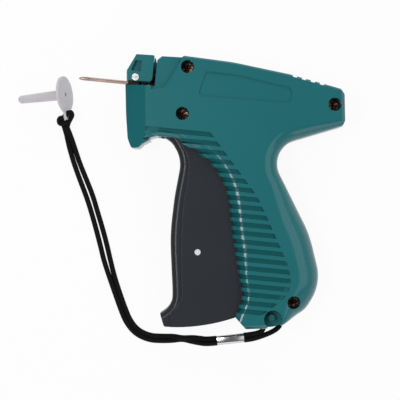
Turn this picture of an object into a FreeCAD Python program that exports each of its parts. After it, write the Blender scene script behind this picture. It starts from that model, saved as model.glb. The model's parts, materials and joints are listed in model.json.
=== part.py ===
import FreeCAD, Part
import math
import os
import re

from FreeCAD import Placement, Rotation, Vector

# Garment tag attacher lying on its right side: +Z runs to its left side, +X to the rear,
# +Y to the top of the barrel. The table is at zero height and the origin is below the
# middle of the gun. Lengths are millimetres and angles are degrees.

SIZES = {
    # whole gun: outline places are shares of the length and the height
    "gun_length": 144.0,
    "gun_height": 144.0,
    "gun_width": 28.0,
    "overrun": 20.0,
    "fit_gap": 0.05,
    "slide_gap": 0.3,
    # moulded shells
    "wall": 2.0,
    "tail_bevel": 2.0,
    "nose_bevel_depth": 8.0,
    "panel_depth": 2.0,
    "label_depth": 0.7,
    "rib_pitch": 4.56,
    "rib_groove": 2.5,
    "rib_depth": 1.1,
    "thumb_pitch": 4.85,
    "thumb_groove": 2.4,
    "thumb_depth": 0.9,
    "slot_width": 1.7,
    # housing screws
    "screw_radius": 1.5,
    "screw_head_radius": 2.9,
    "screw_head_height": 2.2,
    "screw_recess_radius": 3.5,
    "screw_recess_depth": 12.0,
    "screw_foot": 4.0,
    "boss_wall": 1.0,
    # lanyard post and its recess
    "strap_radius": 4.8,
    "strap_floor": 3.0,
    "strap_post_radius": 1.9,
    "strap_recess_depth": 10.0,
    "strap_stub_radius": 1.75,
    "strap_stub_stand": 4.0,
    # nose block, needle and its lock
    "block_drop": 3.0,
    "block_edge": 0.35,
    "block_pocket_depth": 3.0,
    "lock_boss_radius": 3.4,
    "lock_pin_radius": 1.9,
    "lock_pin_rise": 1.6,
    "lock_pin_stand": 0.5,
    "lock_slot": 0.8,
    "lock_slot_depth": 1.2,
    "dowel_radius": 1.0,
    "dowel_length": 4.0,
    "needle_radius": 1.0,
    "needle_bore": 0.62,
    "needle_slot": 0.7,
    "needle_bevel": 7.0,
    "needle_base_length": 5.6,
    "needle_base_height": 3.0,
    "needle_base_depth": 3.1,
    "bar_channel_width": 2.8,
    "blade_thickness": 0.8,
    "blade_height": 8.0,
    # feed wheel, pawl and detent
    "wheel_radius": 7.5,
    "wheel_root": 5.9,
    "wheel_width": 3.0,
    "wheel_rise": 1.9,
    "wheel_pin_radius": 1.5,
    "wheel_pin_foot": 6.0,
    "wheel_pin_cover": 6.6,
    "pawl_width": 2.4,
    "pawl_hub_radius": 2.2,
    "pawl_pin_radius": 1.0,
    "pawl_tip": 1.1,
    "detent_thickness": 0.4,
    "detent_rise": 1.0,
    # trigger
    "trigger_width": 17.0,
    "trigger_wall": 2.0,
    "trigger_front_wall": 3.0,
    "trigger_round": 3.2,
    "trigger_step": 1.0,
    "trigger_edge": 0.5,
    "trigger_side_gap": 0.4,
    "trigger_hub_radius": 3.7,
    "trigger_shaft_radius": 1.6,
    "trigger_pin_radius": 1.6,
    # drive lever, link and return spring
    "lever_thickness": 4.0,
    "lever_hub_radius": 4.6,
    "lever_hub_width": 10.0,
    "lever_end_radius": 3.8,
    "lever_top_width": 8.4,
    "lever_top_reach": 5.8,
    "lever_waist": 7.0,
    "lever_shaft_radius": 2.0,
    "shaft_boss_wall": 1.0,
    "link_width": 8.0,
    "link_eye_radius": 3.4,
    "link_pin_radius": 1.4,
    "link_play": 0.15,
    "buffer_gap": 0.65,
    "strip_thickness": 0.5,
    "strip_width": 3.0,
    "strip_post_radius": 1.6,
    # slide and ejector
    "slide_pin_radius": 1.5,
    "slide_pin_play": 0.4,
    "slide_height": 8.8,
    "slide_width": 23.2,
    "slide_front": 8.6,
    "slide_web": 2.2,
    "slide_rear": 5.0,
    "slide_slot": 4.6,
    "rail_thickness": 1.8,
    "rail_gap": 5.6,
    "rail_side": 11.2,
    "rod_radius": 1.3,
    "rod_tip_radius": 0.5,
    "buffer_length": 4.0,
    # needle guard on the lanyard
    "guard_tube_radius": 2.9,
    "guard_tip_radius": 2.2,
    "guard_tube_length": 24.7,
    "guard_bore": 1.2,
    "guard_disc_radius": 9.9,
    "guard_disc_thickness": 1.3,
    "guard_flat": 7.6,
    "guard_lug_width": 4.0,
    "guard_lug_reach": 3.9,
    "guard_eye_inset": 3.5,
    "guard_eye_radius": 1.35,
    # lanyard
    "cord_radius": 1.2,
    "cord_lift": 0.05,
    "ferrule_length": 15.0,
    "ferrule_width": 5.1,
    "ferrule_height": 3.2,
    "knot_ring": 2.9,
}

WHEEL_TEETH = 12
RIBS = 21
THUMB_GROOVES = 4
TRIGGER_SWING = 16.0
LEVER_SPLAY = 13.0
GUARD_TURN = 10.5
GUARD_LUG_TURN = -2.0

# Heights that follow from the sizes above
HEIGHTS = {
    "screw_recess_floor": "gun_width - screw_recess_depth",
    "strap_recess_floor": "gun_width - strap_recess_depth",
    "block_top": "gun_width - block_drop",
    "lock_pin_foot": "gun_width / 2 + lock_pin_rise",
    "wheel_low": "gun_width / 2 + wheel_rise",
    "wheel_pin_top": "gun_width - wheel_pin_cover",
    "trigger_low": "gun_width / 2 - trigger_width / 2",
}

doc = FreeCAD.newDocument("garment_tag_attacher")
sheet = doc.addObject("Spreadsheet::Sheet", "Sizes")
cells = [(alias, str(value)) for alias, value in SIZES.items()]
cells += [(alias, "=" + text) for alias, text in HEIGHTS.items()]
for row, (alias, text) in enumerate(cells, start=1):
    sheet.set(f"A{row}", alias)
    sheet.set(f"B{row}", text)
    sheet.setAlias(f"B{row}", alias)
doc.recompute()


def size(alias):
    """One driving size, read from the sheet."""
    return float(sheet.get(alias))


def bound(text):
    """A sum of size names, written as an expression on the sheet."""
    return re.sub(r"[a-z][a-z_]*", lambda word: f"Sizes.{word.group(0)}", text)


LENGTH = size("gun_length")
HEIGHT = size("gun_height")
MID = size("gun_width") / 2

# Rounds of the shells' outer edges, as shares of the gun's smallest measure.
WIDTH_SHARE = 0.1944
ROUND_SHARES = {
    "foot": 0.0319,
    "front": 0.0520,
    "web": 0.0312,
    "hollow": 0.0550,
    "rear": 0.0833,
    "base": 0.0194,
    "top": 0.0083,
}
ROUND_MEASURE = min(LENGTH, HEIGHT, size("gun_width") / WIDTH_SHARE)

# Places on the gun, as shares of its length and height from its middle.
NEEDLE_LINE_SHARE = 0.390
TRIGGER_PIVOT_SHARES = (-0.115, 0.233)
TRIGGER_PIN_SHARES = (0.0065, -0.214)
LEVER_PIVOT_SHARES = (0.208, 0.042)
LOCK_PIN_SHARES = (-0.285, 0.407)
STRAP_POST_SHARES = (0.308, -0.431)
STRAP_RECESS_SHARES = (0.3063, -0.4314)
STRAP_STUB_SHARES = (0.3029, -0.4290)
WHEEL_SHARES = (-0.242, 0.336)
PAWL_PIVOT_SHARES = (-0.143, 0.330)
STRIP_POST_SHARES = (0.396, -0.271)
LEVER_BEND_SHARES = (0.203, 0.180)
STRIP_TOUCH_SHARE = 0.55
LOWER_ARM_SHARE = 0.1903
STROKE_SHARE = 0.250
SCREW_SHARES = [(-0.097, 0.462), (-0.099, 0.289), (0.455, 0.377), (0.377, -0.363)]
DOWEL_SHARES = [(-0.288, 0.470), (-0.304, 0.415)]
NEEDLE_TIP_SHARE = -0.500
NEEDLE_ROOT_SHARE = -0.275
BASE_FRONT_SHARE = -0.313
BAR_FRONT_SHARE = -0.274
ROD_TIP_SHARE = -0.208
ROD_STEP_SHARE = 0.052
SLOT_FRONT_SHARE = -0.222
SLOT_REAR_SHARE = -0.210
RIB_TOP_SHARE = 0.2215
THUMB_FRONT_SHARE = 0.300
THUMB_LINE_SHARES = [(0.281, 0.471), (0.469, 0.437)]
CAVITY_FRONT_SHARE = -0.128

# Outline corners: length share, height share, corner radius as a share of the height, and
# the rounds of the edge that follows, at its start and at its end.
BODY_SHARES = [
    (-0.194, 0.492, 0.006, ""),
    (-0.119, 0.495, 0, ""),
    (-0.112, 0.501, 0, "top top"),
    (0.066, 0.495, 0.500, "top top"),
    (0.281, 0.471, 0.300, "top top"),
    (0.469, 0.437, 0, ""),
    (0.488, 0.419, 0.014, ""),
    (0.4995, 0.322, 0.010, ""),
    (0.492, 0.301, 0, "web hollow"),
    (0.224, 0.192, 0.090, "hollow rear"),
    (0.414, -0.104, 0.420, "rear rear"),
    (0.478, -0.286, 0.170, "rear rear"),
    (0.427, -0.390, 0.100, "rear base"),
    (0.326, -0.463, 0.100, "base base"),
    (0.212, -0.478, 0, ""),
    (0.166, -0.436, 0, "foot foot"),
    (0.188, -0.364, 0.083, "foot front"),
    (0.126, -0.149, 0.500, "front front"),
    (0.076, 0.092, 0.260, "front foot"),
    (-0.180, 0.226, 0.125, "foot foot"),
    (-0.248, 0.1486, 0.004, ""),
    (-0.276, 0.1465, 0.010, ""),
    (-0.293, 0.180, 0.050, ""),
    (-0.308, 0.271, 0.300, ""),
    (-0.321, 0.379, 0, ""),
]
LEFT_FRONT_SHARES = [
    (-0.210, 0.379, 0.004, ""),
    (-0.210, 0.476, 0, ""),
]
RIGHT_FRONT_SHARES = [
    (-0.319, 0.428, 0, ""),
    (-0.289, 0.492, 0.006, ""),
    (-0.221, 0.494, 0.004, ""),
    (-0.216, 0.476, 0, ""),
    (-0.210, 0.476, 0, ""),
]
BLOCK_SHARES = [
    (-0.289, 0.492, 0.006),
    (-0.222, 0.494, 0.005),
    (-0.222, 0.394, 0.014),
    (-0.316, 0.394, 0.004),
    (-0.319, 0.428, 0.010),
]
BLOCK_POCKET_SHARES = [
    (-0.290, 0.469, 0.003),
    (-0.267, 0.470, 0.003),
    (-0.266, 0.429, 0),
    (-0.3035, 0.431, 0.002),
]
PANEL_SHARES = [
    (-0.222, 0.520, 0),
    (-0.119, 0.520, 0),
    (-0.119, 0.495, 0),
    (-0.147, 0.427, 0.040),
    (-0.172, 0.378, 0.014),
    (-0.222, 0.366, 0),
]
LABEL_SHARES = [
    (-0.050, 0.358, 0.018),
    (-0.027, 0.452, 0.014),
    (0.099, 0.449, 0.300),
    (0.300, 0.421, 0.025),
    (0.291, 0.365, 0.014),
]
GRIP_SHARES = [
    (-0.224, 0.240, 0.010),
    (0.001, 0.240, 0.030),
    (0.206, 0.011, 0.300),
    (0.332, -0.208, 0.300),
    (0.364, -0.287, 0.100),
    (0.346, -0.345, 0.100),
    (0.270, -0.416, 0.050),
    (0.220, -0.432, 0),
    (0.100, -0.432, 0),
    (-0.253, 0.049, 0),
]
TRIGGER_SHARES = [
    (-0.138, 0.243, 0),
    (-0.158, 0.199, 0),
    (-0.128, 0.182, 0.060),
    (-0.086, 0.125, 0.120),
    (-0.099, -0.017, 0.800),
    (-0.102, -0.160, 0.800),
    (-0.074, -0.354, 0.500),
    (-0.067, -0.420, 0.070),
    (-0.110, -0.456, 0),
    (-0.091, -0.501, 0.010),
    (0.0465, -0.4955, 0.733),
    (0.173, -0.439, 0),
    (0.199, -0.368, 0.100),
    (0.140, -0.153, 0.400),
    (0.106, 0.052, 0.200),
    (0.014, 0.146, 0.100),
    (-0.066, 0.212, 0),
    (-0.0925, 0.243, 0),
]
TRIGGER_ROUNDED_CORNERS = range(1, 8)
CHEEK_SHARES = [
    (-0.130, 0.245, 0),
    (-0.096, 0.182, 0.030),
    (-0.0593, 0.124, 0.120),
    (-0.0574, 0.056, 0.400),
    (-0.0645, -0.031, 0.600),
    (-0.0640, -0.101, 0.600),
    (-0.0565, -0.208, 0.600),
    (-0.0438, -0.326, 0.400),
    (-0.0380, -0.363, 0.100),
    (-0.0388, -0.400, 0.040),
    (-0.0771, -0.452, 0.012),
    (-0.0600, -0.520, 0),
    (0.230, -0.520, 0),
    (0.230, 0.245, 0),
]
CHEEK_ROUNDED_CORNERS = range(1, 11)
TRIGGER_HOLLOW_SHARES = [
    (-0.066, 0.125, 0.060),
    (-0.078, -0.017, 0.800),
    (-0.081, -0.160, 0.800),
    (-0.053, -0.354, 0.500),
    (-0.048, -0.478, 0.020),
    (0.0465, -0.477, 0.733),
    (0.150, -0.432, 0),
    (0.250, -0.400, 0),
    (0.250, 0.060, 0),
    (0.010, 0.175, 0.050),
]
TRIGGER_ROOM_SHARES = [
    (-0.170, 0.243, 0),
    (-0.170, 0.118, 0),
    (-0.184, -0.540, 0),
    (0.108, -0.540, 0),
    (0.153, -0.451, 0.030),
    (0.205, -0.430, 0),
    (0.205, -0.333, 0),
    (0.149, -0.056, 0.200),
    (0.094, 0.076, 0.200),
    (-0.003, 0.174, 0.100),
    (-0.059, 0.243, 0),
]
PAWL_ROOM_SHARES = [
    (-0.201, 0.302, 0.010),
    (-0.120, 0.309, 0.010),
    (-0.120, 0.365, 0.010),
    (-0.201, 0.365, 0.010),
]
DETENT_ROOM_SHARES = [
    (-0.288, 0.272, 0),
    (-0.197, 0.272, 0),
    (-0.197, 0.300, 0),
    (-0.288, 0.300, 0),
]

STRAP_POCKET_SHARES = [
    (0.275, -0.570, 0),
    (0.275, -0.398, 0.020),
    (0.341, -0.398, 0.020),
    (0.341, -0.4306, 0.020),
    (0.3611, -0.4583, 0.010),
    (0.3611, -0.570, 0),
]
STRAP_WALL_SHARES = [
    (0.261, -0.570, 0),
    (0.261, -0.384, 0.034),
    (0.355, -0.384, 0.034),
    (0.355, -0.426, 0.020),
    (0.375, -0.454, 0.010),
    (0.375, -0.570, 0),
]
STRAP_MOUTH_SHARES = [
    (0.2730, -0.4314, 0),
    (0.3396, -0.4314, 0),
    (0.3396, -0.570, 0),
    (0.2990, -0.570, 0),
    (0.2905, -0.465, 0.060),
]

# Height of the gun's top beyond each step of the bevel plane on the nose: two points on the
# near face and one on the front edge.
NOSE_BEVEL_SHARES = [(-0.245, 0.383), (-0.2285, 0.233), (-0.325, 0.385)]
TAIL_BEVEL_SHARES = [(0.486, 0.322), (0.476, 0.412), (0.4995, 0.322)]


def at(shares, height=0.0):
    """A place from its shares of the gun's length and height."""
    return Vector(shares[0] * LENGTH, shares[1] * HEIGHT, height)


def corners_of(shares):
    """Corner places and radii in millimetres."""
    return [(at(corner[:2]), corner[2] * HEIGHT) for corner in shares]


def rounded(corners):
    """Lines and tangent arcs round a closed run of corners, as (curve, corner number, is arc)."""
    count = len(corners)
    reaches = []
    for number, (place, radius) in enumerate(corners):
        back = corners[number - 1][0] - place
        ahead = corners[(number + 1) % count][0] - place
        half = back.getAngle(ahead) / 2
        reaches.append(radius / math.tan(half) if radius else 0)
    limited = []
    for number, (place, _) in enumerate(corners):
        reach = reaches[number]
        for other in (number - 1, (number + 1) % count):
            run = (corners[other][0] - place).Length
            wanted = reaches[number] + reaches[other]
            if wanted > run:
                reach = min(reach, run * reaches[number] / wanted)
        limited.append(reach)
    ends = []
    for number, (place, radius) in enumerate(corners):
        back = (corners[number - 1][0] - place).normalize()
        ahead = (corners[(number + 1) % count][0] - place).normalize()
        half = back.getAngle(ahead) / 2
        reach = limited[number]
        if radius == 0:
            ends.append((place, place, None))
            continue
        turn = reach * math.tan(half)
        middle = place + (back + ahead).normalize() * (turn / math.sin(half) - turn)
        ends.append((place + back * reach, place + ahead * reach, middle))
    curves = []
    for number, (first, last, middle) in enumerate(ends):
        if middle is not None:
            curves.append((Part.Arc(first, middle, last), number, True))
        following = ends[(number + 1) % count][0]
        if (following - last).Length > Part.Vertex(last).Tolerance:
            curves.append((Part.LineSegment(last, following), number, False))
    return curves


def sketch(name, curves, low="0"):
    """A sketch of plain curves at one height."""
    made = doc.addObject("Sketcher::SketchObject", name)
    for curve in curves:
        made.addGeometry(curve, False)
    made.setExpression("Placement.Base.z", bound(low))
    return made


def extrude(name, profile, height):
    """A solid raised from a profile along +Z."""
    made = doc.addObject("Part::Extrusion", name)
    made.Base = profile
    made.DirMode = "Custom"
    made.Dir = Vector(0, 0, 1)
    made.Solid = True
    made.setExpression("LengthFwd", bound(height))
    return made


def prism(name, corners, low, height):
    """A straight solid on an outline of rounded corners."""
    curves = [curve for curve, _, _ in rounded(corners)]
    return extrude(name, sketch(name + "_outline", curves, low), height)


def place_by(made, spot, low):
    """Bind a primitive's place to the sheet: shares of length and height, and a height."""
    made.setExpression("Placement.Base.x", f"Sizes.gun_length * {spot[0]}")
    made.setExpression("Placement.Base.y", f"Sizes.gun_height * {spot[1]}")
    made.setExpression("Placement.Base.z", bound(low))
    return made


def post(name, spot, radius, low, height):
    """An upright cylinder at a place given in shares."""
    made = doc.addObject("Part::Cylinder", name)
    made.setExpression("Radius", bound(radius))
    made.setExpression("Height", bound(height))
    return place_by(made, spot, low)


def post_at(name, place, radius, low, height):
    """An upright cylinder at a worked-out place."""
    made = doc.addObject("Part::Cylinder", name)
    made.Placement = Placement(Vector(place.x, place.y, 0), Rotation())
    made.setExpression("Radius", bound(radius))
    made.setExpression("Height", bound(height))
    made.setExpression("Placement.Base.z", bound(low))
    return made


def rod(name, start, radius, length):
    """A cylinder that runs along +X from a place."""
    made = doc.addObject("Part::Cylinder", name)
    made.Placement = Placement(start, Rotation(Vector(0, 0, 1), Vector(1, 0, 0)))
    made.setExpression("Radius", bound(radius))
    made.Height = length
    return made


def block(name, low, high):
    """A box between two corners."""
    made = doc.addObject("Part::Box", name)
    made.Length = high.x - low.x
    made.Width = high.y - low.y
    made.Height = high.z - low.z
    made.Placement = Placement(low, Rotation())
    return made


def fuse(name, parts):
    made = doc.addObject("Part::MultiFuse", name)
    made.Shapes = parts
    made.Refine = True
    return made


def cut(name, base, tool):
    made = doc.addObject("Part::Cut", name)
    made.Base = base
    made.Tool = tool
    made.Refine = True
    return made


def common(name, parts):
    made = doc.addObject("Part::MultiCommon", name)
    made.Shapes = parts
    made.Refine = True
    return made


def feature(name, shape):
    made = doc.addObject("Part::Feature", name)
    made.Shape = shape
    return made


def round_edges(name, solid, edges):
    """Fillet of edges, each with a radius at its start and at its end."""
    made = doc.addObject("Part::Fillet", name)
    made.Base = solid
    made.Edges = edges
    return made


NODES = {}


def node(name, made):
    """Name a finished sub-part."""
    made.Label = name
    NODES[name] = made
    return made


# Moulded shells

SIDES = {"right": -1, "left": 1}
NEAR = {"right": "0", "left": "gun_width / 2"}


def rim_edges(solid, outer, curves, rounds, inset):
    """Edges of a half shell's outer face that are rounded, with their two radii."""
    listed = []
    for number, edge in enumerate(solid.Edges, start=1):
        if any(abs(vertex.Point.z - outer) > size("fit_gap") for vertex in edge.Vertexes):
            continue
        middle = edge.valueAt((edge.FirstParameter + edge.LastParameter) / 2)
        probe = Part.Vertex(Vector(middle.x, middle.y, 0))
        gaps = [curve.toShape().distToShape(probe)[0] for curve, _, _ in curves]
        nearest = gaps.index(min(gaps))
        curve, corner, is_arc = curves[nearest]
        names = rounds[corner - 1].split()[1:] * 2 if is_arc else rounds[corner].split()
        if not names:
            continue
        radii = [ROUND_SHARES[text] * ROUND_MEASURE - inset for text in names]
        if min(radii) <= size("fit_gap"):
            continue
        start = Vector(edge.Vertexes[0].Point.x, edge.Vertexes[0].Point.y, 0)
        if (start - curve.StartPoint).Length > (start - curve.EndPoint).Length:
            radii.reverse()
        listed.append((number, radii[0], radii[1]))
    return listed


def half_solid(name, shares, side, inset_name):
    """Half of the gun's rounded body, whole or drawn in all round by a named inset."""
    corners = corners_of(shares)
    rounds = [corner[3] for corner in shares]
    curves = rounded(corners)
    inset = size(inset_name) if inset_name else 0
    flat = sketch(name + "_outline", [curve for curve, _, _ in curves], NEAR[side])
    if inset_name:
        shrunk = doc.addObject("Part::Offset2D", name + "_inset")
        shrunk.Source = flat
        shrunk.Join = "Intersection"
        shrunk.setExpression("Value", f"-{bound(inset_name)}")
        flat = shrunk
    depth = f"gun_width / 2 - {inset_name}" if inset_name else "gun_width / 2"
    raised = extrude(name + "_block", flat, depth)
    if side == "right" and inset_name:
        raised.setExpression("Placement.Base.z", bound(inset_name))
    doc.recompute()
    outer = MID + SIDES[side] * (MID - inset)
    edges = rim_edges(raised.Shape, outer, curves, rounds, inset)
    return round_edges(name, raised, edges)


def bevel(name, shares, side, depth_name):
    """A box whose lower face is the bevel plane through two near points and one deep one."""
    outer = MID + SIDES[side] * MID
    first = at(shares[0], outer)
    second = at(shares[1], outer)
    deep = at(shares[2], outer - SIDES[side] * size(depth_name))
    along = (second - first).normalize()
    normal = along.cross(deep - first).normalize()
    if normal.z * SIDES[side] < 0:
        normal = normal * -1
    across = normal.cross(along).normalize()
    made = doc.addObject("Part::Box", name)
    made.Length = LENGTH
    made.Width = LENGTH
    made.Height = LENGTH
    start = first - along * (LENGTH / 2) - across * (LENGTH / 2)
    made.Placement = Placement(start, Rotation(along, across, normal, "ZXY"))
    return made


def screw_parts(side):
    """Screw bosses and the holes through them, on one side."""
    bosses = []
    holes = []
    for number, spot in enumerate(SCREW_SHARES, start=1):
        if side == "right":
            bosses.append(post(f"right_boss_{number}", spot, "screw_recess_radius + boss_wall",
                               "0", "gun_width / 2"))
            holes.append(post(f"right_bore_{number}", spot, "screw_radius + fit_gap",
                              "screw_foot - fit_gap", "gun_width"))
        else:
            bosses.append(post(f"left_boss_{number}", spot, "screw_recess_radius + boss_wall",
                               "gun_width / 2", "gun_width / 2"))
            holes.append(post(f"left_bore_{number}", spot, "screw_radius + fit_gap", "0", "gun_width"))
            holes.append(post(f"left_recess_{number}", spot, "screw_recess_radius",
                              "screw_recess_floor", "gun_width"))
    return bosses, holes


def rails(side):
    """Two ribs that carry the slide, one below it and one above."""
    made = []
    middle = NEEDLE_LINE_SHARE * HEIGHT
    reach = size("slide_height") / 2 + size("slide_gap")
    rear = SLIDE_PIN.x + size("slide_rear") + size("buffer_gap") + size("buffer_length")
    front = SLIDE_PIN.x - STROKE - size("slide_front") - size("rail_thickness")
    low = 0 if side == "right" else MID * 2 - size("rail_side")
    for number, sign in enumerate((-1, 1), start=1):
        inner = middle + sign * reach
        outer = inner + sign * size("rail_thickness")
        made.append(block(f"{side}_rail_{number}", Vector(front, min(inner, outer), low),
                          Vector(rear, max(inner, outer), low + size("rail_side"))))
    return made


# Places of the linkage, worked out once from the driving places.

PIVOT = at(TRIGGER_PIVOT_SHARES)
PIN = at(TRIGGER_PIN_SHARES)
LEVER = at(LEVER_PIVOT_SHARES)
NEEDLE_Y = NEEDLE_LINE_SHARE * HEIGHT
ARM_HEIGHT = NEEDLE_Y - LEVER.y
STROKE = STROKE_SHARE * LENGTH
HALF_SWING = math.degrees(math.atan2(STROKE / 2, ARM_HEIGHT))
SLIDE_PIN = Vector(LEVER.x + STROKE / 2, NEEDLE_Y, MID)


def turned(place, centre, angle):
    """A place turned about a centre, in the plane of the gun."""
    return centre + Rotation(Vector(0, 0, 1), angle).multVec(place - centre)


def lower_pin(share):
    """Place of the lever's lower eye at a share of the squeeze."""
    angle = -90 + LEVER_SPLAY - HALF_SWING + 2 * HALF_SWING * share
    return turned(LEVER + Vector(LOWER_ARM_SHARE * HEIGHT, 0, 0), LEVER, angle)


def link_fit():
    """Link length, its rest angle and its turn per degree of trigger, for an even misfit."""
    steps = [step / 8 for step in range(9)]
    lengths = []
    angles = []
    for share in steps:
        line = lower_pin(share) - turned(PIN, PIVOT, TRIGGER_SWING * share)
        lengths.append(line.Length)
        angles.append(math.degrees(math.atan2(line.y, line.x)))
    ratio = (angles[-1] - angles[0]) / TRIGGER_SWING
    errors = [angle - angles[0] - ratio * TRIGGER_SWING * share for angle, share in zip(angles, steps)]
    start = angles[0] + (max(errors) + min(errors)) / 2
    return (max(lengths) + min(lengths)) / 2, start, ratio


LINK_LENGTH, LINK_ANGLE, LINK_RATIO = link_fit()
LINK_PIN = turned(PIN + Vector(LINK_LENGTH, 0, 0), PIN, LINK_ANGLE)
LEVER_EYE = lower_pin(0)


def link_misfit():
    """How far the link's far end strays from the lever's lower eye over the squeeze."""
    strays = []
    for step in range(9):
        share = step / 8
        end = turned(LINK_PIN, PIN, LINK_RATIO * TRIGGER_SWING * share)
        strays.append((turned(PIN, PIVOT, TRIGGER_SWING * share) + (end - PIN) - lower_pin(share)).Length)
    return max(strays)


LEVER_EYE_RADIUS = size("link_pin_radius") + link_misfit() + size("link_play")


def grip_grooves(side, outer_solid_inset):
    """Cross grooves over the grip, as deep as the inset body lies below the surface."""
    field = prism(f"{side}_grip_field", corners_of(GRIP_SHARES), NEAR[side], "gun_width / 2")
    bars = []
    for number in range(RIBS):
        middle = RIB_TOP_SHARE * HEIGHT - number * size("rib_pitch")
        bars.append(block(f"{side}_groove_{number + 1}",
                          Vector(-LENGTH / 2, middle - size("rib_groove") / 2, 0),
                          Vector(LENGTH / 2, middle + size("rib_groove") / 2, size("gun_width"))))
    crossed = common(f"{side}_groove_field", [field, fuse(f"{side}_groove_bars", bars)])
    return cut(f"{side}_grooves", crossed, outer_solid_inset)


def thumb_grooves(side):
    """Short grooves across the top of the tail."""
    front, rear = [at(spot) for spot in THUMB_LINE_SHARES]
    along = (rear - front).normalize()
    made = []
    for number in range(THUMB_GROOVES):
        reach = THUMB_FRONT_SHARE * LENGTH + number * size("thumb_pitch") - front.x
        middle = front + along * (reach / along.x)
        bar = doc.addObject("Part::Box", f"{side}_thumb_{number + 1}")
        bar.setExpression("Length", bound("thumb_groove"))
        bar.setExpression("Width", bound("overrun"))
        bar.setExpression("Height", bound("gun_width"))
        tilt = Rotation(along, Vector(-along.y, along.x, 0), Vector(0, 0, 1), "ZXY")
        low = middle - along * (size("thumb_groove") / 2)
        low = low + tilt.multVec(Vector(0, -size("thumb_depth"), 0))
        bar.Placement = Placement(low, tilt)
        made.append(bar)
    return made


def strap_opening(side):
    """Pocket of the lanyard's loop in the right shell, and the recess over it in the left."""
    if side == "right":
        return [prism("strap_pocket", corners_of(STRAP_POCKET_SHARES), "strap_floor", "gun_width")]
    hole = post("strap_recess", STRAP_RECESS_SHARES, "strap_radius", "strap_recess_floor", "gun_width")
    mouth = prism("strap_mouth", corners_of(STRAP_MOUTH_SHARES), "strap_recess_floor", "gun_width")
    return [hole, mouth]


def strap_post(side):
    """Post that holds the loop, or the stub that stands in the recess above it."""
    if side == "right":
        return post("strap_post", STRAP_POST_SHARES, "strap_post_radius", "wall", "gun_width / 2 - wall")
    return post("strap_stub", STRAP_STUB_SHARES, "strap_stub_radius", "strap_recess_floor - wall",
                "strap_stub_stand + wall")


def pivot_bosses(side):
    """Bosses that hold the two cross shafts, the spring post and their bores."""
    low = "0" if side == "right" else "gun_width / 2"
    bosses = [
        post(f"{side}_trigger_boss", TRIGGER_PIVOT_SHARES, "trigger_shaft_radius + shaft_boss_wall",
             low, "gun_width / 2"),
        post(f"{side}_lever_boss", LEVER_PIVOT_SHARES, "lever_shaft_radius + shaft_boss_wall",
             "0" if side == "right" else "gun_width / 2 + lever_hub_width / 2 + slide_gap",
             "gun_width / 2 - lever_hub_width / 2 - slide_gap"),
        post(f"{side}_strip_boss", STRIP_POST_SHARES, "strip_post_radius", low, "gun_width / 2"),
    ]
    bores = [
        post(f"{side}_trigger_bore", TRIGGER_PIVOT_SHARES, "trigger_shaft_radius + fit_gap",
             "wall - fit_gap", "gun_width - wall - wall + fit_gap + fit_gap"),
        post(f"{side}_lever_bore", LEVER_PIVOT_SHARES, "lever_shaft_radius + fit_gap",
             "wall - fit_gap", "gun_width - wall - wall + fit_gap + fit_gap"),
    ]
    return bosses, bores


def trigger_room(side):
    """Space swept by the trigger between the two cheeks."""
    low = "gun_width / 2 - trigger_width / 2 - trigger_side_gap"
    width = "trigger_width + trigger_side_gap + trigger_side_gap"
    sweep = prism(f"{side}_trigger_sweep", corners_of(TRIGGER_ROOM_SHARES), low, width)
    hub = post(f"{side}_trigger_hub_room", TRIGGER_PIVOT_SHARES, "trigger_hub_radius + slide_gap",
               low, width)
    return [sweep, hub]


def nose_rooms(side):
    """Channels and pockets in the nose for the needle, the rod and the clip's bars."""
    half_channel = size("bar_channel_width") / 2
    half_base = size("needle_base_height") / 2
    gap = size("fit_gap")
    front = BAR_FRONT_SHARE * LENGTH
    rear = SLOT_REAR_SHARE * LENGTH
    base_front = BASE_FRONT_SHARE * LENGTH
    base_low = MID - size("needle_base_depth") / 2
    blade_low = MID - half_channel - size("blade_thickness")
    rooms = [
        rod(f"{side}_rod_room", Vector(rear - gap, NEEDLE_Y, MID), "rod_radius + slide_gap",
            CAVITY_FRONT_SHARE * LENGTH - rear + 2 * gap),
    ]
    if side == "left":
        rooms.append(block("left_base_room", Vector(base_front - gap, NEEDLE_Y - half_base - gap, MID),
                           Vector(front + gap, NEEDLE_Y + half_base + gap, MID * 2 - base_low + gap)))
        return rooms
    rooms.append(rod("right_needle_room", Vector(-LENGTH / 2, NEEDLE_Y, MID), "needle_radius + fit_gap",
                     front + LENGTH / 2))
    rooms.append(block("right_bar_room", Vector(front, NEEDLE_Y - half_channel, MID - half_channel),
                       Vector(rear, HEIGHT, MID)))
    rooms.append(block("right_base_room",
                       Vector(base_front - gap, NEEDLE_Y - half_base - gap, base_low - gap),
                       Vector(front + gap, NEEDLE_Y + half_base + gap, MID)))
    rooms.append(block("right_blade_room", Vector(front + 2 * gap, NEEDLE_Y - gap, blade_low - gap),
                       Vector(rear - 2 * gap, NEEDLE_Y + size("blade_height") + gap, MID)))
    for number, spot in enumerate(DOWEL_SHARES, start=1):
        rooms.append(post(f"right_dowel_room_{number}", spot, "dowel_radius + fit_gap",
                          "gun_width / 2 - dowel_length - fit_gap", "gun_width"))
    return rooms


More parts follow.
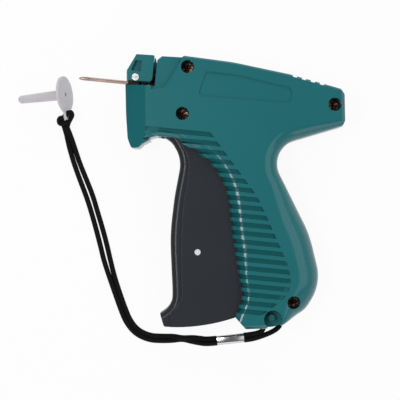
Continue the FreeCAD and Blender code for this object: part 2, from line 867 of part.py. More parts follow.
def wheel_rooms(side):
    """Pockets for the feed wheel, its pawl and its detent, and bores for their pins."""
    top = "wheel_low + wheel_width + slide_gap - gun_width / 2"
    rooms = [
        post(f"{side}_wheel_bore", WHEEL_SHARES, "wheel_pin_radius + fit_gap",
             "wheel_pin_foot - fit_gap", "wheel_pin_top - wheel_pin_foot + fit_gap + fit_gap"),
        post(f"{side}_pawl_bore", PAWL_PIVOT_SHARES, "pawl_pin_radius + fit_gap",
             "wheel_pin_foot - fit_gap", "wheel_pin_top - wheel_pin_foot + fit_gap + fit_gap"),
    ]
    if side == "left":
        rooms.append(post("left_wheel_room", WHEEL_SHARES, "wheel_radius + slide_gap + slide_gap",
                          "gun_width / 2", top))
        rooms.append(prism("left_pawl_room", corners_of(PAWL_ROOM_SHARES), "gun_width / 2", top))
        rooms.append(prism("left_detent_room", corners_of(DETENT_ROOM_SHARES), "gun_width / 2", top))
    return rooms


def shell(side, front_shares):
    """One moulded half of the housing."""
    shares = BODY_SHARES + front_shares
    outer = half_solid(f"{side}_outer", shares, side, "")
    skin = half_solid(f"{side}_rib_floor", shares, side, "rib_depth")
    inner = half_solid(f"{side}_inner", shares, side, "wall")
    limit = block(f"{side}_cavity_limit", Vector(CAVITY_FRONT_SHARE * LENGTH, -HEIGHT, 0),
                  Vector(LENGTH, HEIGHT, size("gun_width")))
    screw_bosses, screw_holes = screw_parts(side)
    bosses, bores = pivot_bosses(side)
    walls = prism(f"{side}_strap_walls", corners_of(STRAP_WALL_SHARES), "0", "gun_width")
    standing = fuse(f"{side}_standing", screw_bosses + bosses + rails(side) + [walls])
    hollow = cut(f"{side}_hollow", common(f"{side}_cavity", [inner, limit]), standing)
    removed = [hollow, grip_grooves(side, skin)]
    removed.append(bevel(f"{side}_nose_bevel", NOSE_BEVEL_SHARES, side, "nose_bevel_depth"))
    removed.append(bevel(f"{side}_tail_bevel", TAIL_BEVEL_SHARES, side, "tail_bevel"))
    removed += screw_holes + bores + thumb_grooves(side) + strap_opening(side)
    removed += trigger_room(side) + nose_rooms(side) + wheel_rooms(side)
    if side == "left":
        removed.append(prism("clip_panel", corners_of(PANEL_SHARES), "gun_width - panel_depth", "overrun"))
        removed.append(prism("label_panel", corners_of(LABEL_SHARES), "gun_width - label_depth", "overrun"))
    made = cut(f"{side}_cut", outer, fuse(f"{side}_removed", removed))
    return node(f"{side}_shell", fuse(f"{side}_whole", [made, strap_post(side)]))


def housing_screws():
    """Four cross-head screws, sunk in the left shell."""
    screws = []
    bar = size("screw_head_radius") / 2
    thin = bar / 4
    top = size("screw_recess_floor") + size("screw_head_height")
    for number, spot in enumerate(SCREW_SHARES, start=1):
        head = post(f"screw_head_{number}", spot, "screw_head_radius",
                    "screw_recess_floor", "screw_head_height")
        shank = post(f"screw_shank_{number}", spot, "screw_radius",
                     "screw_foot", "screw_recess_floor - screw_foot")
        centre = at(spot)
        drive = fuse(f"screw_cross_{number}", [
            block(f"screw_bar_{number}", centre + Vector(-bar, -thin, top - bar),
                  centre + Vector(bar, thin, top + bar)),
            block(f"screw_beam_{number}", centre + Vector(-thin, -bar, top - bar),
                  centre + Vector(thin, bar, top + bar)),
        ])
        screws.append(cut(f"screw_{number}", fuse(f"screw_body_{number}", [head, shank]), drive))
    made = doc.addObject("Part::Compound", "screws")
    made.Links = screws
    return node("housing_screws", made)


def nose_block():
    """Block in front of the clip slot that clamps the needle's base."""
    gap = size("fit_gap")
    half_channel = size("bar_channel_width") / 2
    body = prism("block_body", corners_of(BLOCK_SHARES), "gun_width / 2", "block_top - gun_width / 2")
    doc.recompute()
    top = size("block_top") - size("fit_gap")
    rim = [number for number, edge in enumerate(body.Shape.Edges, start=1)
           if min(vertex.Point.z for vertex in edge.Vertexes) > top]
    edge_round = size("block_edge")
    body = round_edges("block_soft", body, [(number, edge_round, edge_round) for number in rim])
    pocket = prism("block_pocket", corners_of(BLOCK_POCKET_SHARES),
                   "block_top - block_pocket_depth", "overrun")
    boss = post("lock_boss", LOCK_PIN_SHARES, "lock_boss_radius", "0", "gun_width + overrun")
    dowels = [post(f"dowel_{number}", spot, "dowel_radius", "gun_width / 2 - dowel_length", "dowel_length")
              for number, spot in enumerate(DOWEL_SHARES, start=1)]
    removed = [
        cut("block_hollow", pocket, boss),
        post("lock_bore", LOCK_PIN_SHARES, "lock_pin_radius + fit_gap", "lock_pin_foot", "gun_width"),
        rod("block_needle_room", Vector(-LENGTH / 2, NEEDLE_Y, MID), "needle_radius + fit_gap",
            (BAR_FRONT_SHARE + 0.5) * LENGTH),
        block("block_bar_room", Vector(BAR_FRONT_SHARE * LENGTH, NEEDLE_Y - half_channel, MID),
              Vector(LENGTH, HEIGHT, MID + half_channel)),
        block("block_base_room", Vector(BASE_FRONT_SHARE * LENGTH - gap, 0, MID),
              Vector(BAR_FRONT_SHARE * LENGTH + gap, NEEDLE_Y + size("needle_base_height") / 2 + gap,
                     MID + size("needle_base_depth") / 2 + gap)),
    ]
    made = cut("block_cut", fuse("block_with_dowels", [body] + dowels), fuse("block_removed", removed))
    return node("nose_block", made)


def needle():
    """Hollow needle with a slot along its near side and a slanted point."""
    start = Vector(NEEDLE_TIP_SHARE * LENGTH, NEEDLE_Y, MID)
    length = (NEEDLE_ROOT_SHARE - NEEDLE_TIP_SHARE) * LENGTH
    tube = rod("needle_tube", start, "needle_radius", length)
    bore = rod("needle_bore_tool", start, "needle_bore", length)
    half = size("needle_slot") / 2
    slot = block("needle_slot_tool", start + Vector(0, -half, 0),
                 Vector(BASE_FRONT_SHARE * LENGTH, NEEDLE_Y + half, MID + size("overrun")))
    slant = math.atan2(2 * size("needle_radius"), size("needle_bevel"))
    radius = size("needle_radius")
    corners = [
        Vector(start.x, NEEDLE_Y, MID - radius),
        Vector(start.x + size("needle_bevel"), NEEDLE_Y, MID + radius),
        Vector(start.x + size("needle_bevel"), NEEDLE_Y, MID + size("overrun")),
        Vector(start.x - size("overrun"), NEEDLE_Y, MID + size("overrun")),
        Vector(start.x - size("overrun"), NEEDLE_Y, MID - radius - size("overrun") * math.tan(slant)),
    ]
    face = Part.Face(Part.makePolygon(corners + corners[:1]))
    face.translate(Vector(0, -size("overrun") / 2, 0))
    point = feature("needle_point_tool", face.extrude(Vector(0, size("overrun"), 0)))
    return node("needle", cut("needle_cut", tube, fuse("needle_removed", [bore, slot, point])))


def needle_base():
    """Steel foot of the needle, held between the nose block and the right shell."""
    half_height = size("needle_base_height") / 2
    half_depth = size("needle_base_depth") / 2
    front = BASE_FRONT_SHARE * LENGTH
    body = block("base_body", Vector(front, NEEDLE_Y - half_height, MID - half_depth),
                 Vector(front + size("needle_base_length"), NEEDLE_Y + half_height, MID + half_depth))
    hole = rod("base_bore", Vector(front - size("overrun"), NEEDLE_Y, MID), "needle_radius + fit_gap / 2",
               size("overrun") * 2)
    return node("needle_base", cut("base_cut", body, hole))


def cutter_blade():
    """Thin blade that frees each fastener from its clip."""
    gap = size("fit_gap")
    half_channel = size("bar_channel_width") / 2
    low = MID - half_channel - size("blade_thickness")
    corners = [
        (Vector(BAR_FRONT_SHARE * LENGTH + 3 * gap, NEEDLE_Y, 0), 0),
        (Vector(SLOT_REAR_SHARE * LENGTH - 3 * gap, NEEDLE_Y, 0), 0),
        (Vector(SLOT_REAR_SHARE * LENGTH - 3 * gap, NEEDLE_Y + size("blade_height") * 0.6, 0), 0),
        (Vector(BAR_FRONT_SHARE * LENGTH + 3 * gap, NEEDLE_Y + size("blade_height"), 0), 0),
    ]
    made = prism("blade", corners, "0", "blade_thickness")
    made.Placement = Placement(Vector(0, 0, low), Rotation())
    return node("cutter_blade", made)


def needle_lock_pin():
    """Slotted pin that is turned to free the needle."""
    body = post("lock_body", LOCK_PIN_SHARES, "lock_pin_radius", "lock_pin_foot + fit_gap",
                "block_top + lock_pin_stand - lock_pin_foot - fit_gap")
    centre = at(LOCK_PIN_SHARES)
    top = size("block_top") + size("lock_pin_stand")
    reach = size("lock_pin_radius") * 2
    half = size("lock_slot") / 2
    slot = block("lock_slot_tool", Vector(centre.x - reach, centre.y - half, top - size("lock_slot_depth")),
                 Vector(centre.x + reach, centre.y + half, top + reach))
    return node("needle_lock_pin", cut("lock_cut", body, slot))


# Feed wheel, pawl and detent

def origin_plane(body, role):
    return next(item for item in body.Origin.OriginFeatures if item.Role == role)


def feed_wheel():
    """Toothed wheel that draws the clip down: a ratchet outline with a bored hub."""
    body = doc.addObject("PartDesign::Body", "wheel_body")
    profile = body.newObject("Sketcher::SketchObject", "wheel_profile")
    profile.AttachmentSupport = [(origin_plane(body, "XY_Plane"), "")]
    profile.MapMode = "FlatFace"
    tip = size("wheel_radius")
    root = size("wheel_root")
    step = 360 / WHEEL_TEETH
    corners = []
    for tooth in range(WHEEL_TEETH):
        for radius, share in ((root, 0.0), (tip, 0.62), (tip, 0.80)):
            angle = math.radians((tooth + share) * step)
            corners.append((Vector(radius * math.cos(angle), radius * math.sin(angle), 0), 0))
    for curve, _, _ in rounded(corners):
        profile.addGeometry(curve, False)
    disc = body.newObject("PartDesign::Pad", "wheel_disc")
    disc.Profile = profile
    disc.setExpression("Length", bound("wheel_width"))
    doc.recompute()
    ring = body.newObject("Sketcher::SketchObject", "wheel_ring")
    ring.AttachmentSupport = [(origin_plane(body, "XY_Plane"), "")]
    ring.MapMode = "FlatFace"
    bore_radius = size("wheel_pin_radius") + size("fit_gap")
    ring.addGeometry(Part.Circle(Vector(), Vector(0, 0, 1), bore_radius), False)
    hole = body.newObject("PartDesign::Pocket", "wheel_hole")
    hole.Profile = ring
    hole.Type = "ThroughAll"
    hole.Reversed = True
    doc.recompute()
    body.Tip = hole
    return node("feed_wheel", place_by(body, WHEEL_SHARES, "wheel_low"))


def feed_pawl():
    """Pawl beside the wheel, its tip just clear of the teeth."""
    pivot = at(PAWL_PIVOT_SHARES)
    wheel = at(WHEEL_SHARES)
    low = "wheel_low + wheel_width / 2 - pawl_width / 2"
    tip_x = wheel.x + size("wheel_radius") + size("slide_gap")
    hub_radius = size("pawl_hub_radius")
    corners = [
        (Vector(pivot.x, pivot.y + hub_radius, 0), 0),
        (Vector(tip_x, pivot.y + size("pawl_tip") / 2, 0), 0),
        (Vector(tip_x, pivot.y - size("pawl_tip") / 2, 0), 0),
        (Vector(pivot.x, pivot.y - hub_radius, 0), 0),
    ]
    arm = prism("pawl_arm", corners, low, "pawl_width")
    hub = post("pawl_hub", PAWL_PIVOT_SHARES, "pawl_hub_radius", low, "pawl_width")
    bore = post("pawl_hub_bore", PAWL_PIVOT_SHARES, "pawl_pin_radius + fit_gap", "0", "gun_width")
    return node("feed_pawl", cut("pawl_cut", fuse("pawl_whole", [arm, hub]), bore))


def wheel_detent():
    """Leaf spring under the wheel that keeps it from running back."""
    room = [at(spot[:2]) for spot in DETENT_ROOM_SHARES]
    gap = size("fit_gap")
    thick = size("detent_thickness")
    left = room[0].x + gap
    right = room[1].x - gap
    floor = room[0].y + gap
    middle = WHEEL_SHARES[0] * LENGTH
    rise = size("detent_rise")
    corners = [
        (Vector(left, floor, 0), 0),
        (Vector(middle - rise, floor, 0), rise),
        (Vector(middle, floor + rise, 0), thick),
        (Vector(middle + rise, floor, 0), rise),
        (Vector(right, floor, 0), 0),
        (Vector(right, floor + thick, 0), 0),
        (Vector(middle + rise, floor + thick, 0), rise),
        (Vector(middle, floor + thick + rise, 0), thick),
        (Vector(middle - rise, floor + thick, 0), rise),
        (Vector(left, floor + thick, 0), 0),
    ]
    made = prism("detent_leaf", corners, "gun_width / 2 + fit_gap",
                 "wheel_low + wheel_width - gun_width / 2 - fit_gap")
    return node("wheel_detent", made)


def plain_pins():
    """Shafts and pins that are straight cylinders."""
    node("wheel_pin", post("wheel_pin_body", WHEEL_SHARES, "wheel_pin_radius", "wheel_pin_foot",
                           "wheel_pin_top - wheel_pin_foot"))
    node("pawl_pin", post("pawl_pin_body", PAWL_PIVOT_SHARES, "pawl_pin_radius", "wheel_pin_foot",
                          "wheel_pin_top - wheel_pin_foot"))
    node("trigger_shaft", post("trigger_shaft_body", TRIGGER_PIVOT_SHARES, "trigger_shaft_radius", "wall",
                               "gun_width - wall - wall"))
    node("lever_shaft", post("lever_shaft_body", LEVER_PIVOT_SHARES, "lever_shaft_radius", "wall",
                             "gun_width - wall - wall"))
    node("trigger_pin", post("trigger_pin_body", TRIGGER_PIN_SHARES, "trigger_pin_radius", "trigger_low",
                             "trigger_width"))
    node("link_pin", post_at("link_pin_body", LINK_PIN, "link_pin_radius", "gun_width / 2 - link_width / 2",
                             "link_width"))
    node("slide_pin", post_at("slide_pin_body", SLIDE_PIN, "slide_pin_radius",
                              "gun_width / 2 - slide_width / 2", "slide_width"))


# Trigger and linkage

def near_edges(solid, curves, corners, radius):
    """Flat edges of a solid that follow some corners of its outline, listed for a fillet."""
    listed = []
    for number, edge in enumerate(solid.Edges, start=1):
        heights = [vertex.Point.z for vertex in edge.Vertexes]
        if abs(heights[0] - heights[-1]) > size("fit_gap"):
            continue
        middle = edge.valueAt((edge.FirstParameter + edge.LastParameter) / 2)
        probe = Part.Vertex(Vector(middle.x, middle.y, 0))
        gaps = [curve.toShape().distToShape(probe)[0] for curve, _, _ in curves]
        if min(gaps) < size("fit_gap") and curves[gaps.index(min(gaps))][1] in corners:
            listed.append((number, radius, radius))
    return listed


def trigger():
    """Hollow trigger, hung on its hub: a rounded front band between two raised cheeks."""
    low = "trigger_low"
    curves = rounded(corners_of(TRIGGER_SHARES))
    outline = [curve for curve, _, _ in curves]
    band = extrude("trigger_band", sketch("trigger_band_outline", outline, f"{low} + trigger_step"),
                   "trigger_width - trigger_step - trigger_step")
    whole = extrude("trigger_cheeks_whole", sketch("trigger_cheeks_outline", outline, low), "trigger_width")
    cheek_curves = rounded(corners_of(CHEEK_SHARES))
    cheek_outline = [curve for curve, _, _ in cheek_curves]
    field = extrude("cheek_field", sketch("cheek_field_outline", cheek_outline, low), "trigger_width")
    cheeks = common("trigger_cheeks", [whole, field])
    doc.recompute()
    front = near_edges(band.Shape, curves, TRIGGER_ROUNDED_CORNERS, size("trigger_round"))
    rim = near_edges(cheeks.Shape, cheek_curves, CHEEK_ROUNDED_CORNERS, size("trigger_edge"))
    soft = fuse("trigger_solid", [round_edges("trigger_soft_band", band, front),
                                  round_edges("trigger_soft_cheeks", cheeks, rim)])
    hub = post("trigger_hub", TRIGGER_PIVOT_SHARES, "trigger_hub_radius", low, "trigger_width")
    hollow = prism("trigger_hollow", corners_of(TRIGGER_HOLLOW_SHARES), f"{low} + trigger_wall",
                   "trigger_width - trigger_wall - trigger_wall")
    bores = [
        post("trigger_hub_bore", TRIGGER_PIVOT_SHARES, "trigger_shaft_radius + fit_gap", "0", "gun_width"),
        post("trigger_pin_bore", TRIGGER_PIN_SHARES, "trigger_pin_radius + fit_gap", "0", "gun_width"),
    ]
    whole = fuse("trigger_whole", [cut("trigger_open", soft, hollow), hub])
    return node("trigger", cut("trigger_cut", whole, fuse("trigger_bores", bores)))


def link():
    """Link from the trigger pin to the lever, forked at its lever end."""
    low = "gun_width / 2 - link_width / 2"
    reach = size("link_eye_radius")
    ahead = (LINK_PIN - PIN).normalize()
    side = Vector(-ahead.y, ahead.x, 0)
    beam = prism("link_beam", [(PIN + side * reach, 0), (LINK_PIN + side * reach, 0),
                               (LINK_PIN - side * reach, 0), (PIN - side * reach, 0)], low, "link_width")
    eyes = [post_at("link_eye", PIN, "link_eye_radius", low, "link_width"),
            post_at("link_fork", LINK_PIN, "link_eye_radius", low, "link_width")]
    fork = size("lever_end_radius") + size("link_eye_radius") + size("slide_gap")
    start = LINK_PIN - ahead * fork
    past = LINK_PIN + ahead * size("overrun")
    wide = side * size("overrun")
    slot = prism("link_slot", [(start + wide, 0), (past + wide, 0), (past - wide, 0), (start - wide, 0)],
                 "gun_width / 2 - lever_thickness / 2 - slide_gap",
                 "lever_thickness + slide_gap + slide_gap")
    bores = [post_at("link_eye_bore", PIN, "trigger_pin_radius + fit_gap", "0", "gun_width"),
             post_at("link_fork_bore", LINK_PIN, "link_pin_radius + fit_gap / 2", "0", "gun_width")]
    whole = fuse("link_whole", [beam] + eyes)
    return node("link", cut("link_cut", whole, fuse("link_removed", [slot] + bores)))


def ribbon(points, halves):
    """Corners of a plate that follows a centre line, with its half width at each point."""
    left = []
    right = []
    for number, (place, half) in enumerate(zip(points, halves)):
        before = points[max(number - 1, 0)]
        after = points[min(number + 1, len(points) - 1)]
        along = (after - before).normalize()
        side = Vector(-along.y, along.x, 0) * half
        left.append(place + side)
        right.append(place - side)
    return left + right[::-1]


def drive_lever():
    """Rocking lever: the link pushes its lower eye, and its forked top carries the slide pin."""
    low = "gun_width / 2 - lever_thickness / 2"
    down = (LEVER_EYE - LEVER).normalize()
    up = Vector(math.sin(math.radians(HALF_SWING)), math.cos(math.radians(HALF_SWING)), 0)
    end = size("lever_end_radius")
    hub = size("lever_hub_radius")
    half_top = size("lever_top_width") / 2
    arm = ARM_HEIGHT / math.cos(math.radians(HALF_SWING))
    points = [LEVER_EYE + down * end, LEVER, at(LEVER_BEND_SHARES), LEVER + up * (arm - 2 * half_top),
              LEVER + up * (arm + size("lever_top_reach") / 2)]
    halves = [end, hub, size("lever_waist") / 2, half_top, half_top]
    radii = [end * 0.95, hub, size("lever_hub_width"), hub, half_top / 4]
    places = ribbon(points, halves)
    plate = prism("lever_plate", list(zip(places, radii + radii[::-1])), low, "lever_thickness")
    boss = post_at("lever_hub", LEVER, "lever_hub_radius",
                   "gun_width / 2 - lever_hub_width / 2", "lever_hub_width")
    half_slot = size("slide_pin_radius") + size("slide_pin_play")
    across = Vector(up.y, -up.x, 0) * half_slot
    root = LEVER + up * (ARM_HEIGHT - 2 * size("slide_pin_radius"))
    past = LEVER + up * (ARM_HEIGHT + size("overrun"))
    slot = prism("lever_slot", [(root + across, half_slot * 0.95), (past + across, 0),
                                (past - across, 0), (root - across, half_slot * 0.95)], "0", "gun_width")
    bores = [post_at("lever_bore", LEVER, "lever_shaft_radius + fit_gap", "0", "gun_width"),
             post_at("lever_eye_bore", LEVER_EYE, "link_pin_radius", "0", "gun_width")]
    bores[1].setExpression("Radius", None)
    bores[1].Radius = LEVER_EYE_RADIUS
    whole = fuse("lever_whole", [plate, boss])
    return node("drive_lever", cut("lever_cut", whole, fuse("lever_removed", [slot] + bores)))


def return_strip():
    """Spring steel strip hooked round a post, whose free end presses on the lever's lower arm."""
    centre = at(STRIP_POST_SHARES)
    radius = size("strip_post_radius") + size("fit_gap") + size("strip_thickness") / 2
    down = (LEVER_EYE - LEVER).normalize()
    clear = size("lever_hub_radius") + size("slide_gap") + size("strip_thickness")
    touch = LEVER + down * (LOWER_ARM_SHARE * HEIGHT * STRIP_TOUCH_SHARE)
    touch = touch + Vector(-down.y, down.x, 0) * clear
    reach = touch - centre
    lean = math.degrees(math.asin(radius / reach.Length))
    ahead = Rotation(Vector(0, 0, 1), lean).multVec(reach).normalize()
    leave = centre + Vector(ahead.y, -ahead.x, 0) * radius
    path = Part.Wire([Part.Arc(turned(leave, centre, -200), turned(leave, centre, -100), leave).toShape(),
                      Part.LineSegment(leave, leave + ahead * reach.Length).toShape()])
    band = path.makeOffset2D(size("strip_thickness"), 0, True, True)
    band.translate(Vector(0, 0, MID - size("strip_width") / 2))
    return node("return_strip", feature("strip_body", band.extrude(Vector(0, 0, size("strip_width")))))


# Slide and ejector

def slide():
    """Block that the lever pushes along its rails, with the rod in its front web."""
    half_width = size("slide_width") / 2
    half_height = size("slide_height") / 2
    front = SLIDE_PIN.x - size("slide_front")
    rear = SLIDE_PIN.x + size("slide_rear")
    body = block("slide_body", Vector(front, NEEDLE_Y - half_height, MID - half_width),
                 Vector(rear, NEEDLE_Y + half_height, MID + half_width))
    half_slot = size("slide_slot") / 2
    inside = front + size("slide_web")
    slot = block("slide_slot_tool", Vector(inside, NEEDLE_Y - size("slide_height"), MID - half_slot),
                 Vector(rear + size("overrun"), NEEDLE_Y + size("slide_height"), MID + half_slot))
    bores = [post_at("slide_pin_bore", SLIDE_PIN, "slide_pin_radius + fit_gap / 2", "0", "gun_width"),
             rod("slide_rod_bore", Vector(front - size("slide_web"), NEEDLE_Y, MID),
                 "rod_radius + fit_gap / 2", size("slide_web") * 3)]
    return node("slide", cut("slide_cut", body, fuse("slide_removed", [slot] + bores)))


def ejector_rod():
    """Stepped rod that pushes the fastener's bar through the needle."""
    tip = Vector(ROD_TIP_SHARE * LENGTH, NEEDLE_Y, MID)
    step = Vector(ROD_STEP_SHARE * LENGTH, NEEDLE_Y, MID)
    end = SLIDE_PIN.x - size("slide_front") + size("slide_web")
    thin = rod("rod_tip", tip, "rod_tip_radius", step.x - tip.x)
    thick = rod("rod_body", step, "rod_radius", end - step.x)
    return node("ejector_rod", fuse("rod_whole", [thin, thick]))


def slide_buffer():
    """Rubber block that stops the slide at the rear."""
    front = SLIDE_PIN.x + size("slide_rear") + size("buffer_gap")
    half_height = size("slide_height") / 2 + size("slide_gap") - size("fit_gap")
    side = size("wall") + size("fit_gap")
    made = block("buffer_body", Vector(front, NEEDLE_Y - half_height, side),
                 Vector(front + size("buffer_length"), NEEDLE_Y + half_height, size("gun_width") - side))
    return node("slide_buffer", made)


# Needle guard and lanyard: these lie on the table, at places read from the photograph. Each
# place of the cord is a length share and a height share.

GUARD_DISC_SHARES = (-0.5553, 0.3247)
# Middle of the doubled cord, how far each strand clears it, and the rise of each strand
LANYARD_SHARES = [
    (-0.5431, 0.2056, 0.0003, 0.0222, 0.0222),
    (-0.5312, 0.1764, 0.0003, 0.0069, 0.0069),
    (-0.5090, 0.1278, 0.0010, 0, 0),
    (-0.4840, 0.0688, 0.0021, 0, 0),
    (-0.4542, 0.0097, 0.0035, 0, 0),
    (-0.4243, -0.0486, 0.0038, 0, 0),
    (-0.4000, -0.1076, 0.0031, 0, 0),
    (-0.3764, -0.1667, 0.0038, 0, 0),
    (-0.3542, -0.2264, 0.0042, 0, 0),
    (-0.3340, -0.2861, 0.0038, 0, 0),
    (-0.3104, -0.3451, 0.0010, 0, 0),
    (-0.2840, -0.4042, 0.0003, 0, 0),
    (-0.2569, -0.4625, 0.0003, 0, 0),
    (-0.2319, -0.5097, 0.0003, 0, 0),
    (-0.1958, -0.5465, 0.0003, 0, 0),
    (-0.1444, -0.5646, 0.0003, 0, 0),
    (-0.0917, -0.5618, 0.0003, 0, 0),
    (-0.0507, -0.5562, 0, 0, 0.0063),
    (-0.0188, -0.5535, -0.0052, 0, 0.0201),
    (0.0181, -0.5542, 0, 0, 0.0083),
    (0.0486, -0.5562, 0.0007, 0, 0),
    (0.0764, -0.5569, 0.0007, 0.0028, 0.0028),
    (0.1132, -0.5493, 0.0007, 0.0028, 0.0028),
]
FERRULE_GAP_SHARE = 0.0007
# The loop between its two ends at the ferrule, round the strap post, and its rise
LOOP_SHARES = [
    (0.2264, -0.5135, 0.0035),
    (0.2569, -0.5063, 0.0042),
    (0.2847, -0.4937, 0.0083),
    (0.2858, -0.4653, 0.0236),
    (0.2858, -0.4081, 0.0257),
    (0.3309, -0.4081, 0.0257),
    (0.3326, -0.4375, 0.0250),
    (0.3486, -0.4632, 0.0188),
    (0.3361, -0.4823, 0.0118),
    (0.3174, -0.4965, 0.0076),
    (0.2889, -0.5122, 0.0049),
    (0.2597, -0.5253, 0.0035),
    (0.2319, -0.5340, 0.0028),
]


def cord_place(shares, rise_share):
    """A place of the cord's centre, lifted from the table by the cord's radius and its rise."""
    return at(shares, size("cord_radius") + size("cord_lift") + rise_share * HEIGHT)


def cord_path(points):
    """Straight runs joined by tangent arcs, each as large as its two runs allow."""
    cut_ends = []
    radii = []
    for before, here, after in zip(points, points[1:], points[2:]):
        back = before - here
        ahead = after - here
        reach = 0.45 * min(back.Length, ahead.Length)
        half_turn = (math.pi - back.getAngle(ahead)) / 2
        radius = reach / math.tan(half_turn)
        radii.append(radius)
        back.normalize()
        ahead.normalize()
        middle = here + (back + ahead).normalize() * (radius / math.cos(half_turn) - radius)
        cut_ends.append((here + back * reach, middle, here + ahead * reach))
    edges = []
    last = points[0]
    for first, middle, end in cut_ends:
        edges.append(Part.LineSegment(last, first).toShape())
        edges.append(Part.Arc(first, middle, end).toShape())
        last = end
    edges.append(Part.LineSegment(last, points[-1]).toShape())
    return Part.Wire(edges), radii


def cord_tube(name, points, radius):
    """A round cord along its path."""
    path, radii = cord_path(points)
    start = (points[1] - points[0]).normalize()
    section = Part.Wire([Part.Circle(points[0], start, radius).toShape()])
    solid = path.makePipeShell([section], True, False)
    expected = math.pi * radius ** 2 * path.Length
    print(name, "bend radii", [round(value, 1) for value in radii],
          "volume", round(solid.Volume, 1), "section times length", round(expected, 1))
    return node(name, feature(name + "_body", solid))


def lanyard():
    """Doubled cord from the guard to the ferrule, and the loop through the handle."""
    middle = [at(place[:2]) for place in LANYARD_SHARES]
    for name, sign, column in (("lanyard_strand_a", -1, 3), ("lanyard_strand_b", 1, 4)):
        points = []
        for number, shares in enumerate(LANYARD_SHARES):
            before = middle[max(number - 1, 0)]
            after = middle[min(number + 1, len(middle) - 1)]
            along = (after - before).normalize()
            reach = size("cord_radius") + shares[2] * HEIGHT
            place = cord_place(shares[:2], shares[column])
            points.append(place + Vector(-along.y, along.x, 0) * (sign * reach))
        cord_tube(name, points, size("cord_radius"))
    start, ahead, side = ferrule_axes()
    end = start + ahead * (size("ferrule_length") + size("fit_gap"))
    end.z = size("cord_lift") + size("ferrule_height") / 2
    side = side * (size("cord_radius") + FERRULE_GAP_SHARE * HEIGHT)
    route = [cord_place(place[:2], place[2]) for place in LOOP_SHARES]
    cord_tube("lanyard_gun_loop", [end + side] + route + [end - side], size("cord_radius"))


def ferrule_axes():
    """Start of the ferrule on the table, its direction and the one across it."""
    before, last = [at(place[:2]) for place in LANYARD_SHARES[-2:]]
    ahead = (last - before).normalize()
    return last, ahead, Vector(-ahead.y, ahead.x, 0)


def lanyard_ferrule():
    """Crimped metal sleeve that joins the cords."""
    start, ahead, side = ferrule_axes()
    end = start + ahead * size("ferrule_length")
    across = side * (size("ferrule_width") / 2)
    round_side = size("ferrule_width") / 6
    corners = [(start + across, round_side), (end + across, round_side),
               (end - across, round_side), (start - across, round_side)]
    return node("lanyard_ferrule", prism("ferrule_body", corners, "cord_lift", "ferrule_height"))


def guard_tilt():
    """Tilt at which the guard rests on its tip and on the edge of its disc."""
    rim = size("guard_disc_radius")
    length = size("guard_tube_length")
    return math.acos(size("guard_tip_radius") / math.hypot(rim, length)) - math.atan2(length, rim)


def guard_axes():
    """Unit vectors of the guard: towards its tip, up its disc and along the disc's level line."""
    tilt = guard_tilt()
    turn = math.radians(GUARD_TURN)
    ahead = Vector(-math.cos(tilt) * math.cos(turn), -math.cos(tilt) * math.sin(turn), -math.sin(tilt))
    rise = Vector(-math.sin(tilt) * math.cos(turn), -math.sin(tilt) * math.sin(turn), math.cos(tilt))
    return ahead, rise, rise.cross(ahead)


def guard_centre():
    """Middle of the disc's front face, as high as the tip on the table asks."""
    tilt = guard_tilt()
    lift = size("guard_tip_radius") + size("cord_lift") + size("guard_tube_length") * math.sin(tilt)
    return at(GUARD_DISC_SHARES, lift)


def lug_axes():
    """Direction of the guard's lug in the disc's plane, and the one across it."""
    ahead, rise, level = guard_axes()
    turn = math.radians(GUARD_LUG_TURN)
    if level.y > 0:
        level = level * -1
    out = level * math.cos(turn) - rise * math.sin(turn)
    return ahead, out, out.cross(ahead)


def needle_guard():
    """Tapered cap with a round flange and a lug for the cord."""
    ahead, out, across = lug_axes()
    centre = guard_centre()
    length = size("guard_tube_length")
    foot = size("guard_tube_radius")
    tip = size("guard_tip_radius")
    cone = Part.makeCone(foot, tip, length, centre, ahead)
    end = Part.makeSphere(tip, centre + ahead * length)
    thick = size("guard_disc_thickness")
    disc = Part.makeCylinder(size("guard_disc_radius"), thick, centre - ahead * thick, ahead)
    lug_start = centre - ahead * thick
    half = size("guard_lug_width") / 2
    far = size("guard_disc_radius") + size("guard_lug_reach") - half
    eye_place = lug_start + out * (far + half - size("guard_eye_inset"))
    low_side = across if across.z < 0 else across * -1
    rim = size("guard_disc_radius") * 2
    flat_start = lug_start + out * size("guard_flat") + low_side * half
    flat_corners = [flat_start, flat_start + out * rim, flat_start + out * rim + low_side * rim,
                    flat_start + low_side * rim]
    flat = Part.Face(Part.makePolygon(flat_corners + flat_corners[:1])).extrude(ahead * thick)
    corners = [lug_start + across * half, lug_start + out * far + across * half,
               lug_start + out * far - across * half, lug_start - across * half]
    strap = Part.Face(Part.makePolygon(corners + corners[:1])).extrude(ahead * thick)
    round_end = Part.makeCylinder(half, thick, lug_start + out * far, ahead)
    bore = Part.makeCylinder(size("guard_bore"), length + thick, centre - ahead * thick, ahead)
    eye = Part.makeCylinder(size("guard_eye_radius"), thick * 4, eye_place - ahead * thick, ahead)
    flange = disc.cut(flat).fuse([strap, round_end]).cut(eye)
    body = cone.fuse([end, flange]).cut(bore).removeSplitter()
    return node("needle_guard", feature("guard_body", body))


def lanyard_knot():
    """Cord looped through the guard's eye, and the hitch below it."""
    ahead, out, across = lug_axes()
    far = size("guard_disc_radius") + size("guard_lug_reach") - size("guard_eye_inset")
    eye = guard_centre() - ahead * (size("guard_disc_thickness") / 2) + out * far
    ring = size("knot_ring")
    thick = size("cord_radius")
    loop = Part.makeTorus(ring, thick, eye + out * ring, across)
    start = cord_place(LANYARD_SHARES[0][:2], LANYARD_SHARES[0][3])
    top = eye + out * (2 * ring)
    down = (start - top).normalize()
    neck = Part.makeCone(thick * 1.6, thick * 2.2, (start - top).Length, top, down)
    strands = [NODES["lanyard_strand_a"].Shape, NODES["lanyard_strand_b"].Shape]
    return node("lanyard_knot", feature("knot_body", loop.fuse(neck).cut(strands).removeSplitter()))


